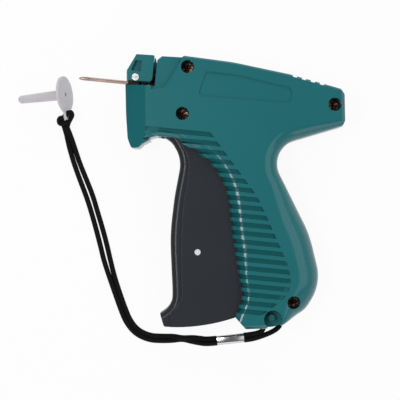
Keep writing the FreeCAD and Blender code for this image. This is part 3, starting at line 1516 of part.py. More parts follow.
shell("right", RIGHT_FRONT_SHARES)
shell("left", LEFT_FRONT_SHARES)
housing_screws()
nose_block()
needle()
needle_base()
cutter_blade()
needle_lock_pin()
feed_wheel()
feed_pawl()
wheel_detent()
plain_pins()
trigger()
link()
drive_lever()
return_strip()
slide()
ejector_rod()
slide_buffer()
lanyard()
lanyard_ferrule()
needle_guard()
lanyard_knot()
doc.recompute()

print("link length", round(LINK_LENGTH, 3), "rest angle", round(LINK_ANGLE, 3))
print("turn ratio", round(LINK_RATIO, 4), "lever eye radius", round(LEVER_EYE_RADIUS, 3))
print("lever half swing", round(HALF_SWING, 3), "link pin", LINK_PIN, "lever eye", LEVER_EYE)
print("pivots", PIVOT, PIN, LEVER, SLIDE_PIN)

faults = [item.Name for item in doc.Objects if "Invalid" in item.State or "Error" in item.State]
for name, made in NODES.items():
    if made.Shape.isNull() or not made.Shape.isValid():
        faults.append(name)
if faults:
    raise RuntimeError("faulty: " + ", ".join(faults))

os.makedirs("parts", exist_ok=True)
for name, made in NODES.items():
    made.Shape.exportStep(os.path.join("parts", name + ".step"))
    print(name, len(made.Shape.Solids), round(made.Shape.Volume, 1))
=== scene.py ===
import json
import math

import bpy
from mathutils import Matrix, Vector


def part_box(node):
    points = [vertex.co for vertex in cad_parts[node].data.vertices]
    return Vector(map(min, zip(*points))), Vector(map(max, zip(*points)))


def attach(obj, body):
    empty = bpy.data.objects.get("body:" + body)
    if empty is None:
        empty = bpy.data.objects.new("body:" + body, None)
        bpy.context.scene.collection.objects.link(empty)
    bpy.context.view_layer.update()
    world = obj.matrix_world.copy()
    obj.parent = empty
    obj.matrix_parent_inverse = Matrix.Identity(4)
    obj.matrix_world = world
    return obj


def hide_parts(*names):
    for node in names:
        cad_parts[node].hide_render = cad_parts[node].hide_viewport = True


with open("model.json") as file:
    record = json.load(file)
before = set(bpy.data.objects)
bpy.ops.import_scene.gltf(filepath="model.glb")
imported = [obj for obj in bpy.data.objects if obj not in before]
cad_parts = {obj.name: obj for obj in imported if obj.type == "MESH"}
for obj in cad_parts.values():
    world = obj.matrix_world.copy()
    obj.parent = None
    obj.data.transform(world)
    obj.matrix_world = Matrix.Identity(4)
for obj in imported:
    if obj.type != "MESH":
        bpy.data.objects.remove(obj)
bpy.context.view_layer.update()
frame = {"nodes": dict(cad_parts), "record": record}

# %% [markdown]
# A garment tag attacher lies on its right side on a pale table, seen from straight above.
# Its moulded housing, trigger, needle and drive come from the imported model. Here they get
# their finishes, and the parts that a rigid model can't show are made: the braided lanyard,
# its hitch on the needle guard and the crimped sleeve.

MM = 0.001


def srgb(red, green, blue):
    """A colour as it is picked on screen, from 0 to 255, turned into the shader's linear values."""
    values = []
    for value in (red, green, blue):
        share = value / 255
        values.append(share / 12.92 if share <= 0.04045 else ((share + 0.055) / 1.055) ** 2.4)
    return (*values, 1.0)


def place(x, y, z):
    """A place given in millimetres, in metres."""
    return Vector((x, y, z)) * MM


def deselect():
    """Nothing selected: an operator acts on all that is."""
    bpy.ops.object.select_all(action="DESELECT")


# %% [markdown]

# %% [markdown]
# The photograph looks straight down from arm's length. The camera is turned a few degrees
# about the vertical, because the barrel isn't quite level in the picture. A fairly long
# lens keeps the near and far faces of the gun almost the same size.

# %% Camera
CAMERA_PLACE = place(-0.5, -3.0, 640.0)
CAMERA_TURN = math.radians(5.6)
CAMERA_LENS = 104.33

camera_data = bpy.data.cameras.new("photo_camera")
camera_data.lens = CAMERA_LENS
camera_data.clip_start = 0.01
camera_data.clip_end = 20
camera = bpy.data.objects.new("photo_camera", camera_data)
camera.location = CAMERA_PLACE
camera.rotation_euler = (0, 0, CAMERA_TURN)
bpy.context.scene.collection.objects.link(camera)
bpy.context.scene.camera = camera
print("camera", round(CAMERA_PLACE.z, 2), "m above the table")

# %% [markdown]
# The lanyard is one doubled cord from the guard to a metal sleeve, and a loop from the
# sleeve round a post in the handle. Both are limp braided cord, a little under 3 mm
# thick, that lies on the table. A cord's line is a smooth spline whose control points are listed,
# in millimetres. Each point of the doubled cord has the place of the middle line, the
# distance of each strand from it, and the rise of each strand from the table. Halfway
# along the bottom one strand climbs over the other.

# %% Routes of the lanyard
CORD_RADIUS = 1.46 * MM
REST_HEIGHT = 1.48
SLEEVE_LENGTH = 15.05
SLEEVE_MIDDLE = 1.65
SLEEVE_SPREAD = 1.30
DOUBLED_ROUTE = [
    (-77.9, 30.0, 0.75, 2.2, 4.4), (-76.5, 26.9, 0.9, 0.8, 3.0), (-75.0, 22.9, 1.2, 0, 1.2),
    (-73.0, 17.6, 1.4, 0, 0),
    (-69.7, 9.9, 1.5, 0, 0), (-65.4, 1.4, 1.7, 0, 0), (-61.1, -7.0, 1.75, 0, 0),
    (-57.6, -15.5, 1.65, 0, 0), (-54.2, -24.0, 1.75, 0, 0), (-51.0, -32.6, 1.8, 0, 0),
    (-48.1, -41.2, 1.75, 0, 0), (-44.7, -49.7, 1.35, 0, 0), (-40.9, -58.2, 1.25, 0, 0),
    (-37.0, -66.6, 1.25, 0, 0), (-33.4, -73.4, 1.25, 0, 0), (-28.2, -78.7, 1.25, 0, 0),
    (-20.8, -81.3, 1.25, 0, 0), (-13.2, -80.9, 1.25, 0, 0), (-7.3, -80.1, 1.2, 0, 0.9),
    (-2.7, -79.7, 0.45, 0, 2.9), (2.6, -79.8, 1.2, 0, 1.2), (7.0, -80.1, 1.3, 0, 0),
    (11.0, -80.2, 1.3, 0.4, 0.4), (16.3, -79.1, 1.3, 0.4, 0.4),
]
LOOP_ROUTE = [
    (32.6, -74.3, 1.75), (36.8, -73.3, 1.85), (40.9, -71.5, 2.45), (41.15, -67.0, 4.65),
    (41.15, -58.76, 4.95), (47.65, -58.76, 4.95), (47.9, -63.0, 4.85), (50.2, -66.7, 3.95),
    (48.4, -69.45, 2.95), (45.7, -71.5, 2.35), (41.6, -73.75, 1.95), (37.4, -75.7, 1.75),
    (33.4, -76.9, 1.65),
]


def strand_route(side):
    """One strand of the doubled cord: the middle line moved sideways by its distance."""
    middle = [place(x, y, REST_HEIGHT) for x, y, *_ in DOUBLED_ROUTE]
    route = []
    for number, here in enumerate(middle):
        before = middle[max(number - 1, 0)]
        after = middle[min(number + 1, len(middle) - 1)]
        along = (after - before).normalized()
        _, _, apart, left_rise, right_rise = DOUBLED_ROUTE[number]
        rise = left_rise if side < 0 else right_rise
        route.append(here + Vector((-along.y * side * apart, along.x * side * apart, rise)) * MM)
    return route


sleeve_start = place(*DOUBLED_ROUTE[-1][:2], 0)
sleeve_ahead = (sleeve_start - place(*DOUBLED_ROUTE[-2][:2], 0)).normalized()
sleeve_side = Vector((-sleeve_ahead.y, sleeve_ahead.x, 0))
sleeve_end = sleeve_start + sleeve_ahead * SLEEVE_LENGTH * MM + Vector((0, 0, SLEEVE_MIDDLE * MM))
loop_start = sleeve_end + sleeve_side * SLEEVE_SPREAD * MM
loop_finish = sleeve_end - sleeve_side * SLEEVE_SPREAD * MM
loop_route = [loop_start] + [place(*point) for point in LOOP_ROUTE] + [loop_finish]
print("sleeve from", [round(v, 4) for v in sleeve_start], "to", [round(v, 4) for v in sleeve_end])

# %% [markdown]
# A curve with a round bevel would give a smooth plastic tube. Real lanyard cord is a tube
# of yarns that cross over and under, which shows as tiny bumps along its edge. So the
# spline is only read for its points, and a fine mesh is wound round them whose radius
# rises and falls with the braid. The mesh also gets a UV map that runs along the cord.

# %% Braided cord
RINGS_PER_RUN = 46
YARNS = 8
YARN_RISE = 0.10
AROUND = 32


def line_points(name, route):
    """Points along the smooth line that the route controls."""
    curve = bpy.data.curves.new(name + "_line", "CURVE")
    curve.dimensions = "3D"
    curve.resolution_u = RINGS_PER_RUN
    spline = curve.splines.new("NURBS")
    spline.points.add(len(route) - 1)
    for point, spot in zip(spline.points, route):
        point.co = (*spot, 1)
    spline.order_u = 3
    spline.use_endpoint_u = True
    holder = bpy.data.objects.new(name + "_line", curve)
    bpy.context.scene.collection.objects.link(holder)
    bpy.context.view_layer.update()
    line = bpy.data.meshes.new_from_object(holder)
    points = [vertex.co.copy() for vertex in line.vertices]
    bpy.data.meshes.remove(line)
    bpy.data.objects.remove(holder)
    bpy.data.curves.remove(curve)
    return points


def braid_height(around, along):
    """How far the yarn on top stands out, from 0 to 1, at a place given in yarn widths."""
    right = around + along
    left = around - along
    rise_right = math.sin(math.pi * (right % 1))
    rise_left = math.sin(math.pi * (left % 1))
    on_top = (math.floor(right) + math.floor(left)) % 2 == 0
    if on_top:
        return rise_right * (0.55 + 0.45 * rise_left)
    return rise_left * (0.55 + 0.45 * rise_right)


def braided_cord(name, points, radius):
    """A closed mesh of one cord along the points, with its braid and a UV map."""
    yarn = 2 * math.pi * radius / YARNS
    verts = []
    lengths = [0.0]
    for here, after in zip(points, points[1:]):
        lengths.append(lengths[-1] + (after - here).length)
    tangent = (points[1] - points[0]).normalized()
    across = tangent.orthogonal().normalized()
    for number, here in enumerate(points):
        before = points[max(number - 1, 0)]
        after = points[min(number + 1, len(points) - 1)]
        turned = (after - before).normalized()
        across = (across - turned * across.dot(turned)).normalized()
        upward = turned.cross(across)
        for step in range(AROUND):
            angle = 2 * math.pi * step / AROUND
            height = braid_height(YARNS * step / AROUND, lengths[number] / yarn)
            reach = radius * (1 - YARN_RISE + YARN_RISE * height)
            verts.append(here + (across * math.cos(angle) + upward * math.sin(angle)) * reach)
    faces = []
    for ring in range(len(points) - 1):
        for step in range(AROUND):
            following = (step + 1) % AROUND
            faces.append((ring * AROUND + step, ring * AROUND + following,
                          (ring + 1) * AROUND + following, (ring + 1) * AROUND + step))
    faces.append(tuple(reversed(range(AROUND))))
    faces.append(tuple(len(verts) - AROUND + step for step in range(AROUND)))
    mesh = bpy.data.meshes.new(name)
    mesh.from_pydata(verts, [], faces)
    lay = mesh.uv_layers.new(name="lay")
    for polygon in mesh.polygons:
        for loop_index in polygon.loop_indices:
            index = mesh.loops[loop_index].vertex_index
            step = index % AROUND
            if step == 0 and any(mesh.loops[i].vertex_index % AROUND > AROUND / 2
                                 for i in polygon.loop_indices):
                step = AROUND
            lay.data[loop_index].uv = (step / AROUND, lengths[index // AROUND] / (2 * math.pi * radius))
        polygon.use_smooth = True
    made = bpy.data.objects.new(name, mesh)
    bpy.context.scene.collection.objects.link(made)
    return made, lengths[-1]


strand_a_points = line_points("strand_a", strand_route(-1))
strand_b_points = line_points("strand_b", strand_route(1))
loop_points = line_points("gun_loop", loop_route)
strand_a, strand_a_length = braided_cord("braided_strand_a", strand_a_points, CORD_RADIUS)
strand_b, strand_b_length = braided_cord("braided_strand_b", strand_b_points, CORD_RADIUS)
gun_loop, gun_loop_length = braided_cord("braided_gun_loop", loop_points, CORD_RADIUS)
print("cord lengths", round(strand_a_length, 4), round(strand_b_length, 4), round(gun_loop_length, 4))

# %% [markdown]
# The hitch holds the guard. The end of the doubled cord goes up on the right of the lug,
# through its eye, and down on the left, as one bight. A short turn across the two strands
# closes it below the lug. It is the same cord, wound along two short routes.

# %% Hitch on the needle guard
knot_low, knot_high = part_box("lanyard_knot")
print("hitch between", [round(v, 4) for v in knot_low], "and", [round(v, 4) for v in knot_high])
BIGHT_ROUTE = [
    (-77.1, 28.8, 3.4), (-76.8, 30.9, 5.2), (-75.5, 33.7, 7.6), (-74.1, 36.1, 9.6),
    (-75.1, 37.9, 10.9), (-77.3, 36.3, 10.3), (-78.9, 34.1, 9.3), (-81.2, 33.8, 8.2),
    (-81.1, 31.1, 6.6), (-78.9, 31.3, 5.2), (-78.0, 28.9, 3.4),
]
TURN_ROUTE = [
    (-80.5, 32.8, 6.4), (-79.3, 31.8, 8.0), (-77.4, 31.6, 8.8), (-76.1, 32.6, 8.0),
    (-75.5, 34.0, 6.2),
]
hitch_parts = []
for route in (BIGHT_ROUTE, TURN_ROUTE):
    points = line_points("hitch", [place(*spot) for spot in route])
    piece, _ = braided_cord("hitch_part", points, CORD_RADIUS)
    hitch_parts.append(piece)
deselect()
for piece in hitch_parts:
    piece.select_set(True)
bpy.context.view_layer.objects.active = hitch_parts[0]
bpy.ops.object.join()
hitch = bpy.context.view_layer.objects.active
hitch.name = "guard_hitch"
print("hitch is", len(hitch.data.polygons), "faces")

# %% [markdown]
# The sleeve is a short tube of bright metal, pressed over the four ends between two flat
# jaws. It starts as a cylinder without ends. Its points are moved out to a flat-topped oval,
# which a plain squash wouldn't give, and it gets the wall and the soft rims of a cut tube.

# %% Crimped sleeve
SLEEVE_WIDTH = 5.1 * MM
SLEEVE_HEIGHT = 3.2 * MM
SLEEVE_WALL = 0.35 * MM
SLEEVE_RIM = 0.12 * MM
SLEEVE_PLAY = 0.05 * MM
SLEEVE_SIDES = 96
JAW_FLATNESS = 0.75
sleeve_length = SLEEVE_LENGTH * MM - SLEEVE_PLAY


def finish_place(piece):
    """The piece's place, turn and scale go into its mesh."""
    deselect()
    piece.select_set(True)
    bpy.context.view_layer.objects.active = piece
    bpy.ops.object.transform_apply(location=True, rotation=True, scale=True)


deselect()
bpy.ops.mesh.primitive_cylinder_add(vertices=SLEEVE_SIDES, radius=SLEEVE_WIDTH / 2, depth=sleeve_length,
                                    end_fill_type="NOTHING", location=(0, 0, 0))
sleeve = bpy.context.active_object
sleeve.name = "crimped_sleeve"
for vertex in sleeve.data.vertices:
    across = vertex.co.x / (SLEEVE_WIDTH / 2)
    upward = vertex.co.y / (SLEEVE_WIDTH / 2)
    vertex.co.x = math.copysign(abs(across) ** JAW_FLATNESS, across) * SLEEVE_WIDTH / 2
    vertex.co.y = math.copysign(abs(upward) ** JAW_FLATNESS, upward) * SLEEVE_HEIGHT / 2
solid = sleeve.modifiers.new("wall", "SOLIDIFY")
solid.thickness = SLEEVE_WALL
solid.offset = -1
bpy.ops.object.modifier_apply(modifier="wall")
soft = sleeve.modifiers.new("edges", "BEVEL")
soft.width = SLEEVE_RIM
soft.segments = 2
bpy.ops.object.modifier_apply(modifier="edges")
bpy.ops.object.shade_smooth_by_angle(angle=math.radians(40))
turn = Matrix((sleeve_side, Vector((0, 0, 1)), sleeve_ahead)).transposed().to_4x4()
middle = sleeve_start + sleeve_ahead * sleeve_length / 2
middle.z = SLEEVE_MIDDLE * MM
sleeve.matrix_world = Matrix.Translation(middle) @ turn
finish_place(sleeve)
bpy.ops.object.mode_set(mode="EDIT")
bpy.ops.mesh.select_all(action="SELECT")
bpy.ops.mesh.normals_make_consistent(inside=False)
bpy.ops.object.mode_set(mode="OBJECT")
print("sleeve", round(sleeve.dimensions.x, 4), "by", round(sleeve.dimensions.y, 4))

# %% [markdown]
# The new pieces take the place of the plain solids that stand for them. All of them belong
# to the housing.

# %% Places on the model
for piece in (strand_a, strand_b, gun_loop, hitch, sleeve):
    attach(piece, "housing")
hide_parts("lanyard_strand_a")
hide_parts("lanyard_strand_b")
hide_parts("lanyard_gun_loop")
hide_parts("lanyard_knot")
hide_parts("lanyard_ferrule")
print("pieces placed")

# %% [markdown]
# An effect that several finishes share is a node group. Moulded plastic has a fine grain
# that only shows as a slight break-up of its highlights, and large soft patches where
# hands have polished it. The group puts out one value for each.

# %% Grain group


def new_group(name, inputs, outputs):
    """An empty shader group with named sockets."""
    group = bpy.data.node_groups.new(name, "ShaderNodeTree")
    for label, kind, value in inputs:
        socket = group.interface.new_socket(label, in_out="INPUT", socket_type=kind)
        socket.default_value = value
    for label, kind in outputs:
        group.interface.new_socket(label, in_out="OUTPUT", socket_type=kind)
    return group, group.nodes.new("NodeGroupInput"), group.nodes.new("NodeGroupOutput")


def add_node(tree, kind, links=(), **settings):
    """A node with its settings, and its inputs linked or set."""
    node = tree.nodes.new(kind)
    for key, value in settings.items():
        setattr(node, key, value)
    for socket, source in links:
        if isinstance(source, bpy.types.NodeSocket):
            tree.links.new(source, node.inputs[socket])
        else:
            node.inputs[socket].default_value = source
    return node


def blend(tree, factor, first, second):
    """A colour between two, as far from the first as the factor says."""
    return add_node(tree, "ShaderNodeMix", [("Factor", factor), (6, first), (7, second)],
                    data_type="RGBA").outputs[2]


grain_group, grain_in, grain_out = new_group(
    "moulded grain",
    [("Grain Scale", "NodeSocketFloat", 2500.0), ("Patch Scale", "NodeSocketFloat", 40.0)],
    [("Grain", "NodeSocketFloat"), ("Patches", "NodeSocketFloat")])
grain_place = add_node(grain_group, "ShaderNodeTexCoord")
grain_noise = add_node(grain_group, "ShaderNodeTexNoise",
                       [("Vector", grain_place.outputs["Object"]), ("Scale", grain_in.outputs["Grain Scale"]),
                        ("Detail", 2.0)])
patch_noise = add_node(grain_group, "ShaderNodeTexNoise",
                       [("Vector", grain_place.outputs["Object"]), ("Scale", grain_in.outputs["Patch Scale"]),
                        ("Detail", 4.0)])
grain_group.links.new(grain_noise.outputs["Fac"], grain_out.inputs["Grain"])
grain_group.links.new(patch_noise.outputs["Fac"], grain_out.inputs["Patches"])
print("group", grain_group.name)

# %% [markdown]
# Edges of a moulded or machined part are a little rounder than its faces. The Bevel node
# gives the normal that a rounded edge would have; where it differs from the true normal
# there is an edge, and the group puts out a mask of it. Plastics get a painted highlight
# along it, and blackened steel its bare, worn colour.

# %% Edge group
edge_group, edge_in, edge_out = new_group(
    "edge wear and painted highlight",
    [("Width", "NodeSocketFloat", 0.0004), ("Breakup", "NodeSocketFloat", 300.0)],
    [("Edge", "NodeSocketFloat"), ("Normal", "NodeSocketVector")])
edge_bevel = add_node(edge_group, "ShaderNodeBevel", [("Radius", edge_in.outputs["Width"])], samples=4)
edge_true = add_node(edge_group, "ShaderNodeNewGeometry")
edge_dot = add_node(edge_group, "ShaderNodeVectorMath",
                    [(0, edge_bevel.outputs["Normal"]), (1, edge_true.outputs["Normal"])],
                    operation="DOT_PRODUCT")
edge_place = add_node(edge_group, "ShaderNodeTexCoord")
edge_noise = add_node(edge_group, "ShaderNodeTexNoise",
                      [("Vector", edge_place.outputs["Object"]), ("Scale", edge_in.outputs["Breakup"]),
                       ("Detail", 3.0)])
edge_range = add_node(edge_group, "ShaderNodeMapRange",
                      [("Value", edge_dot.outputs["Value"]), ("From Min", 0.99), ("From Max", 0.85),
                       ("To Min", 0.0), ("To Max", 1.0)])
edge_mask = add_node(edge_group, "ShaderNodeMath",
                     [(0, edge_range.outputs["Result"]), (1, edge_noise.outputs["Fac"])],
                     operation="MULTIPLY")
edge_group.links.new(edge_mask.outputs["Value"], edge_out.inputs["Edge"])
edge_group.links.new(edge_bevel.outputs["Normal"], edge_out.inputs["Normal"])
print("group", edge_group.name)

# %% [markdown]
# The housing is satin ABS. Its colour is one teal with slight patches, its grain breaks up
# the highlight, and a painted highlight makes its edges a touch lighter. The trigger is the
# same plastic in charcoal, and matter. One function makes both, from their own values.

# %% Moulded plastics
SLOTS = {}


def new_material(name):
    """A material with its node tree and Principled shader."""
    material = bpy.data.materials.new(name)
    material.use_nodes = True
    tree = material.node_tree
    shader = tree.nodes["Principled BSDF"]
    return material, tree, shader


def place_group(tree, group, values):
    """A group in a material, with its own values."""
    node = tree.nodes.new("ShaderNodeGroup")
    node.node_tree = group
    for label, value in values.items():
        node.inputs[label].default_value = value
    return node


def moulded(name, colour, patch_colour, edge_highlight_colour, rough, grain_depth, specular=0.5, polish=0.0):
    """Moulded plastic with grain, patches and a painted highlight along its edges."""
    material, tree, shader = new_material(name)
    grain = place_group(tree, grain_group, {"Grain Scale": 2600.0, "Patch Scale": 38.0})
    edge = place_group(tree, edge_group, {"Width": 0.0003, "Breakup": 260.0})
    patched = blend(tree, grain.outputs["Patches"], colour, patch_colour)
    # Painted highlight: the edges get a lighter colour, standing in for the light that rounded edges catch.
    highlighted_edges = blend(tree, edge.outputs["Edge"], patched, edge_highlight_colour)
    rough_range = add_node(tree, "ShaderNodeMapRange",
                           [("Value", grain.outputs["Patches"]), ("From Min", 0.3), ("From Max", 0.7),
                            ("To Min", rough - 0.05), ("To Max", rough + 0.05)])
    bump = add_node(tree, "ShaderNodeBump",
                    [("Height", grain.outputs["Grain"]), ("Normal", edge.outputs["Normal"]),
                     ("Strength", 0.35), ("Distance", grain_depth)])
    tree.links.new(highlighted_edges, shader.inputs["Base Color"])
    tree.links.new(rough_range.outputs["Result"], shader.inputs["Roughness"])
    tree.links.new(bump.outputs["Normal"], shader.inputs["Normal"])
    shader.inputs["Specular IOR Level"].default_value = specular
    shader.inputs["Coat Weight"].default_value = polish
    shader.inputs["Coat Roughness"].default_value = 0.16
    return material


SHELL_POLISH = 0.8
SLOTS["shell"] = moulded("teal housing plastic", srgb(20, 101, 106), srgb(24, 106, 112),
                         srgb(46, 126, 132), 0.46, 0.00003, 0.08, SHELL_POLISH)
SLOTS["trigger"] = moulded("charcoal trigger plastic", srgb(40, 43, 48), srgb(44, 47, 53),
                           srgb(78, 82, 88), 0.46, 0.00003, 0.08, 0.2)
SLOTS["inner"] = moulded("pale inner nylon", srgb(198, 196, 188), srgb(206, 204, 197),
                         srgb(220, 218, 212), 0.48, 0.00002)
SLOTS["rubber"] = moulded("black rubber", srgb(34, 34, 35), srgb(40, 40, 41), srgb(52, 52, 54),
                          0.75, 0.00005, 0.3)
print("plastics", sorted(SLOTS))

# %% [markdown]
# The grip's grooves get painted shade: their colour is darker, as if shade falls in them.
# They also have no polish, so the long glint on the grip is broken into one on each rib. The
# grooves lie at one pitch along the handle. A mask finds them by their place along Y, by two
# slanted lines at their rear ends and by their depth under the flat side.

# %% Painted shade and no polish in the grip's grooves
GROOVE_TOP = 31.9 * MM
GROOVE_PITCH = 4.56 * MM
GROOVE_REAR = 32.4 * MM
GROOVE_SLANT = -0.475
GROOVE_FOOT = 69.1 * MM
GROOVE_FOOT_SLANT = 0.45
GROOVE_FRONT = -26 * MM
FLAT_SIDE = 27.7 * MM
GROOVE_SHADE = 0.65
GROOVE_DULLING = 0.7
shell_tree = SLOTS["shell"].node_tree
shell_shader = shell_tree.nodes["Principled BSDF"]
shell_place = add_node(shell_tree, "ShaderNodeTexCoord")
shell_split = add_node(shell_tree, "ShaderNodeSeparateXYZ", [("Vector", shell_place.outputs["Object"])])


def shell_math(operation, *values):
    """One sum in the housing's material."""
    sum_node = add_node(shell_tree, "ShaderNodeMath", list(enumerate(values)), operation=operation)
    return sum_node.outputs["Value"]


groove_number = shell_math("MULTIPLY_ADD", shell_split.outputs["Y"],
                           -1 / GROOVE_PITCH, GROOVE_TOP / GROOVE_PITCH + 0.5)
groove_apart = shell_math("ABSOLUTE", shell_math("SUBTRACT", shell_math("FRACT", groove_number), 0.5))
groove_band = add_node(shell_tree, "ShaderNodeMapRange",
                       [("Value", groove_apart), ("From Min", 0.30), ("From Max", 0.26)]).outputs["Result"]
groove_end = shell_math("MINIMUM",
                        shell_math("MULTIPLY_ADD", shell_split.outputs["Y"], GROOVE_SLANT, GROOVE_REAR),
                        shell_math("MULTIPLY_ADD", shell_split.outputs["Y"], GROOVE_FOOT_SLANT, GROOVE_FOOT))
groove_before = shell_math("LESS_THAN", shell_split.outputs["X"], groove_end)
groove_behind = shell_math("GREATER_THAN", shell_split.outputs["X"], GROOVE_FRONT)
groove_under = shell_math("LESS_THAN", shell_split.outputs["Z"], FLAT_SIDE)
groove_below = shell_math("LESS_THAN", shell_split.outputs["Y"], GROOVE_TOP + GROOVE_PITCH / 2)
groove_mask = groove_band
for limit in (groove_before, groove_behind, groove_under, groove_below):
    groove_mask = shell_math("MULTIPLY", groove_mask, limit)
shell_under = shell_shader.inputs["Base Color"].links[0].from_socket
# Painted shade: the grooves' colour is turned towards a deeper teal, standing in for the shade that falls in
# them.
groove_shade = shell_math("MULTIPLY", groove_mask, GROOVE_SHADE)
groove_shaded_colour = blend(shell_tree, groove_shade, shell_under, srgb(12, 82, 86))
shell_tree.links.new(groove_shaded_colour, shell_shader.inputs["Base Color"])
shell_polish = shell_math("MULTIPLY_ADD", groove_mask, -GROOVE_DULLING, SHELL_POLISH)
shell_tree.links.new(shell_polish, shell_shader.inputs["Coat Weight"])
print("grooves every", GROOVE_PITCH, "m")

# %% [markdown]
# Steel parts were turned, ground or stamped, so their surface carries fine lines. The
# group stretches a noise along one direction of the part and gives it out as a height
# and as a mask. The needle is a browner steel that was drawn and polished along itself.

# %% Metals
brushed_group, brushed_in, brushed_out = new_group(
    "drawn lines",
    [("Stretch", "NodeSocketVector", (1.0, 1.0, 1.0)), ("Scale", "NodeSocketFloat", 900.0)],
    [("Lines", "NodeSocketFloat"), ("Smudge", "NodeSocketFloat")])
brushed_place = add_node(brushed_group, "ShaderNodeTexCoord")
brushed_stretch = add_node(brushed_group, "ShaderNodeVectorMath",
                           [(0, brushed_place.outputs["Object"]), (1, brushed_in.outputs["Stretch"])],
                           operation="MULTIPLY")
brushed_noise = add_node(brushed_group, "ShaderNodeTexNoise",
                         [("Vector", brushed_stretch.outputs["Vector"]),
                          ("Scale", brushed_in.outputs["Scale"]), ("Detail", 3.0)])
smudge_noise = add_node(brushed_group, "ShaderNodeTexNoise",
                        [("Vector", brushed_place.outputs["Object"]), ("Scale", 180.0), ("Detail", 4.0)])
brushed_group.links.new(brushed_noise.outputs["Fac"], brushed_out.inputs["Lines"])
brushed_group.links.new(smudge_noise.outputs["Fac"], brushed_out.inputs["Smudge"])


def metal(name, colour, dull_colour, rough, stretch, line_depth, worn_colour=None):
    """Bare metal with fine lines, slightly duller smudges and edges of its own colour."""
    material, tree, shader = new_material(name)
    lines = place_group(tree, brushed_group, {"Stretch": stretch, "Scale": 900.0})
    edge = place_group(tree, edge_group, {"Width": 0.00015, "Breakup": 500.0})
    tinted = blend(tree, lines.outputs["Smudge"], colour, dull_colour)
    rough_range = add_node(tree, "ShaderNodeMapRange",
                           [("Value", lines.outputs["Smudge"]), ("From Min", 0.3), ("From Max", 0.7),
                            ("To Min", rough), ("To Max", rough + 0.12)])
    bump = add_node(tree, "ShaderNodeBump",
                    [("Height", lines.outputs["Lines"]), ("Normal", edge.outputs["Normal"]),
                     ("Strength", 0.4), ("Distance", line_depth)])
    worn = blend(tree, edge.outputs["Edge"], tinted, worn_colour or colour)
    tree.links.new(worn, shader.inputs["Base Color"])
    tree.links.new(rough_range.outputs["Result"], shader.inputs["Roughness"])
    tree.links.new(bump.outputs["Normal"], shader.inputs["Normal"])
    shader.inputs["Metallic"].default_value = 1.0
    return material


SLOTS["steel"] = metal("zinc plated steel", srgb(214, 215, 216), srgb(190, 191, 194),
                       0.42, (1, 1, 1), 0.00001)
SLOTS["lever"] = metal("stamped lever steel", srgb(168, 168, 166), srgb(140, 140, 138),
                       0.34, (1, 0.1, 1), 0.00002)
SLOTS["needle"] = metal("drawn needle steel", srgb(192, 172, 162), srgb(160, 138, 128),
                        0.28, (0.05, 1, 1), 0.000003)
SLOTS["ferrule"] = metal("bright sleeve metal", srgb(206, 206, 209), srgb(190, 190, 194),
                         0.12, (0.3, 1, 1), 0.000001)
SLOTS["dark_steel"] = metal("blackened steel", srgb(46, 36, 32), srgb(28, 24, 23),
                            0.30, (1, 1, 1), 0.00001, srgb(228, 186, 160))
print("metals added:", sorted(SLOTS))

# %% [markdown]
# The housing screws are blackened too. Lighter brown spots are painted on their faces as
# glints, while the cross in them stays black. The height of a place tells the two apart:
# only the faces of the heads lie above the bottom of the cross.

# %% Painted glints on the screw heads
SCREW_FACE = 18.0 * MM
FACE_FADE = 1.005
screw_steel = metal("blackened screw steel with painted glints", srgb(60, 42, 36), srgb(34, 28, 26),
                    0.30, (1, 1, 1), 0.00001)
screw_tree = screw_steel.node_tree
screw_place = add_node(screw_tree, "ShaderNodeTexCoord")
screw_split = add_node(screw_tree, "ShaderNodeSeparateXYZ", [("Vector", screw_place.outputs["Object"])])
screw_face = add_node(screw_tree, "ShaderNodeMapRange",
                      [("Value", screw_split.outputs["Z"]), ("From Min", SCREW_FACE),
                       ("From Max", SCREW_FACE * FACE_FADE)])
screw_spots = add_node(screw_tree, "ShaderNodeTexNoise",
                       [("Vector", screw_place.outputs["Object"]), ("Scale", 700.0), ("Detail", 2.0)])
screw_glint_spots = add_node(screw_tree, "ShaderNodeMapRange",
                      [("Value", screw_spots.outputs["Fac"]), ("From Min", 0.50), ("From Max", 0.62)])
screw_glint_mask = add_node(screw_tree, "ShaderNodeMath",
                      [(0, screw_face.outputs["Result"]), (1, screw_glint_spots.outputs["Result"])],
                      operation="MULTIPLY")
screw_shader = screw_tree.nodes["Principled BSDF"]
screw_under = screw_shader.inputs["Base Color"].links[0].from_socket
# Painted highlight: spots on the faces of the heads turn lighter brown, standing in for glints.
screw_glint_colour = blend(screw_tree, screw_glint_mask.outputs["Value"], screw_under, srgb(152, 124, 106))
screw_tree.links.new(screw_glint_colour, screw_shader.inputs["Base Color"])
print("screws:", screw_steel.name)

# %% [markdown]
# The guard is milky polyethylene: light goes a little way into it, so its edges glow. A
# small share of subsurface scattering does that. The cord is black nylon, whose yarns
# shine a little along the braid; its colour and fine fibres follow the UV map.

# %% Guard and cord finishes
guard_plastic, guard_tree, guard_shader = new_material("milky guard plastic")
guard_grain = place_group(guard_tree, grain_group, {"Grain Scale": 900.0, "Patch Scale": 120.0})
guard_tint = blend(guard_tree, guard_grain.outputs["Patches"],
                   srgb(206, 203, 209), srgb(200, 196, 200))
guard_bump = add_node(guard_tree, "ShaderNodeBump",
                      [("Height", guard_grain.outputs["Grain"]), ("Strength", 0.2), ("Distance", 0.00004)])
guard_tree.links.new(guard_tint, guard_shader.inputs["Base Color"])
guard_tree.links.new(guard_bump.outputs["Normal"], guard_shader.inputs["Normal"])
guard_shader.inputs["Roughness"].default_value = 0.4
guard_shader.inputs["Subsurface Weight"].default_value = 0.35
guard_shader.inputs["Subsurface Radius"].default_value = (0.6, 0.6, 0.6)
guard_shader.inputs["Subsurface Scale"].default_value = 0.002
SLOTS["guard"] = guard_plastic

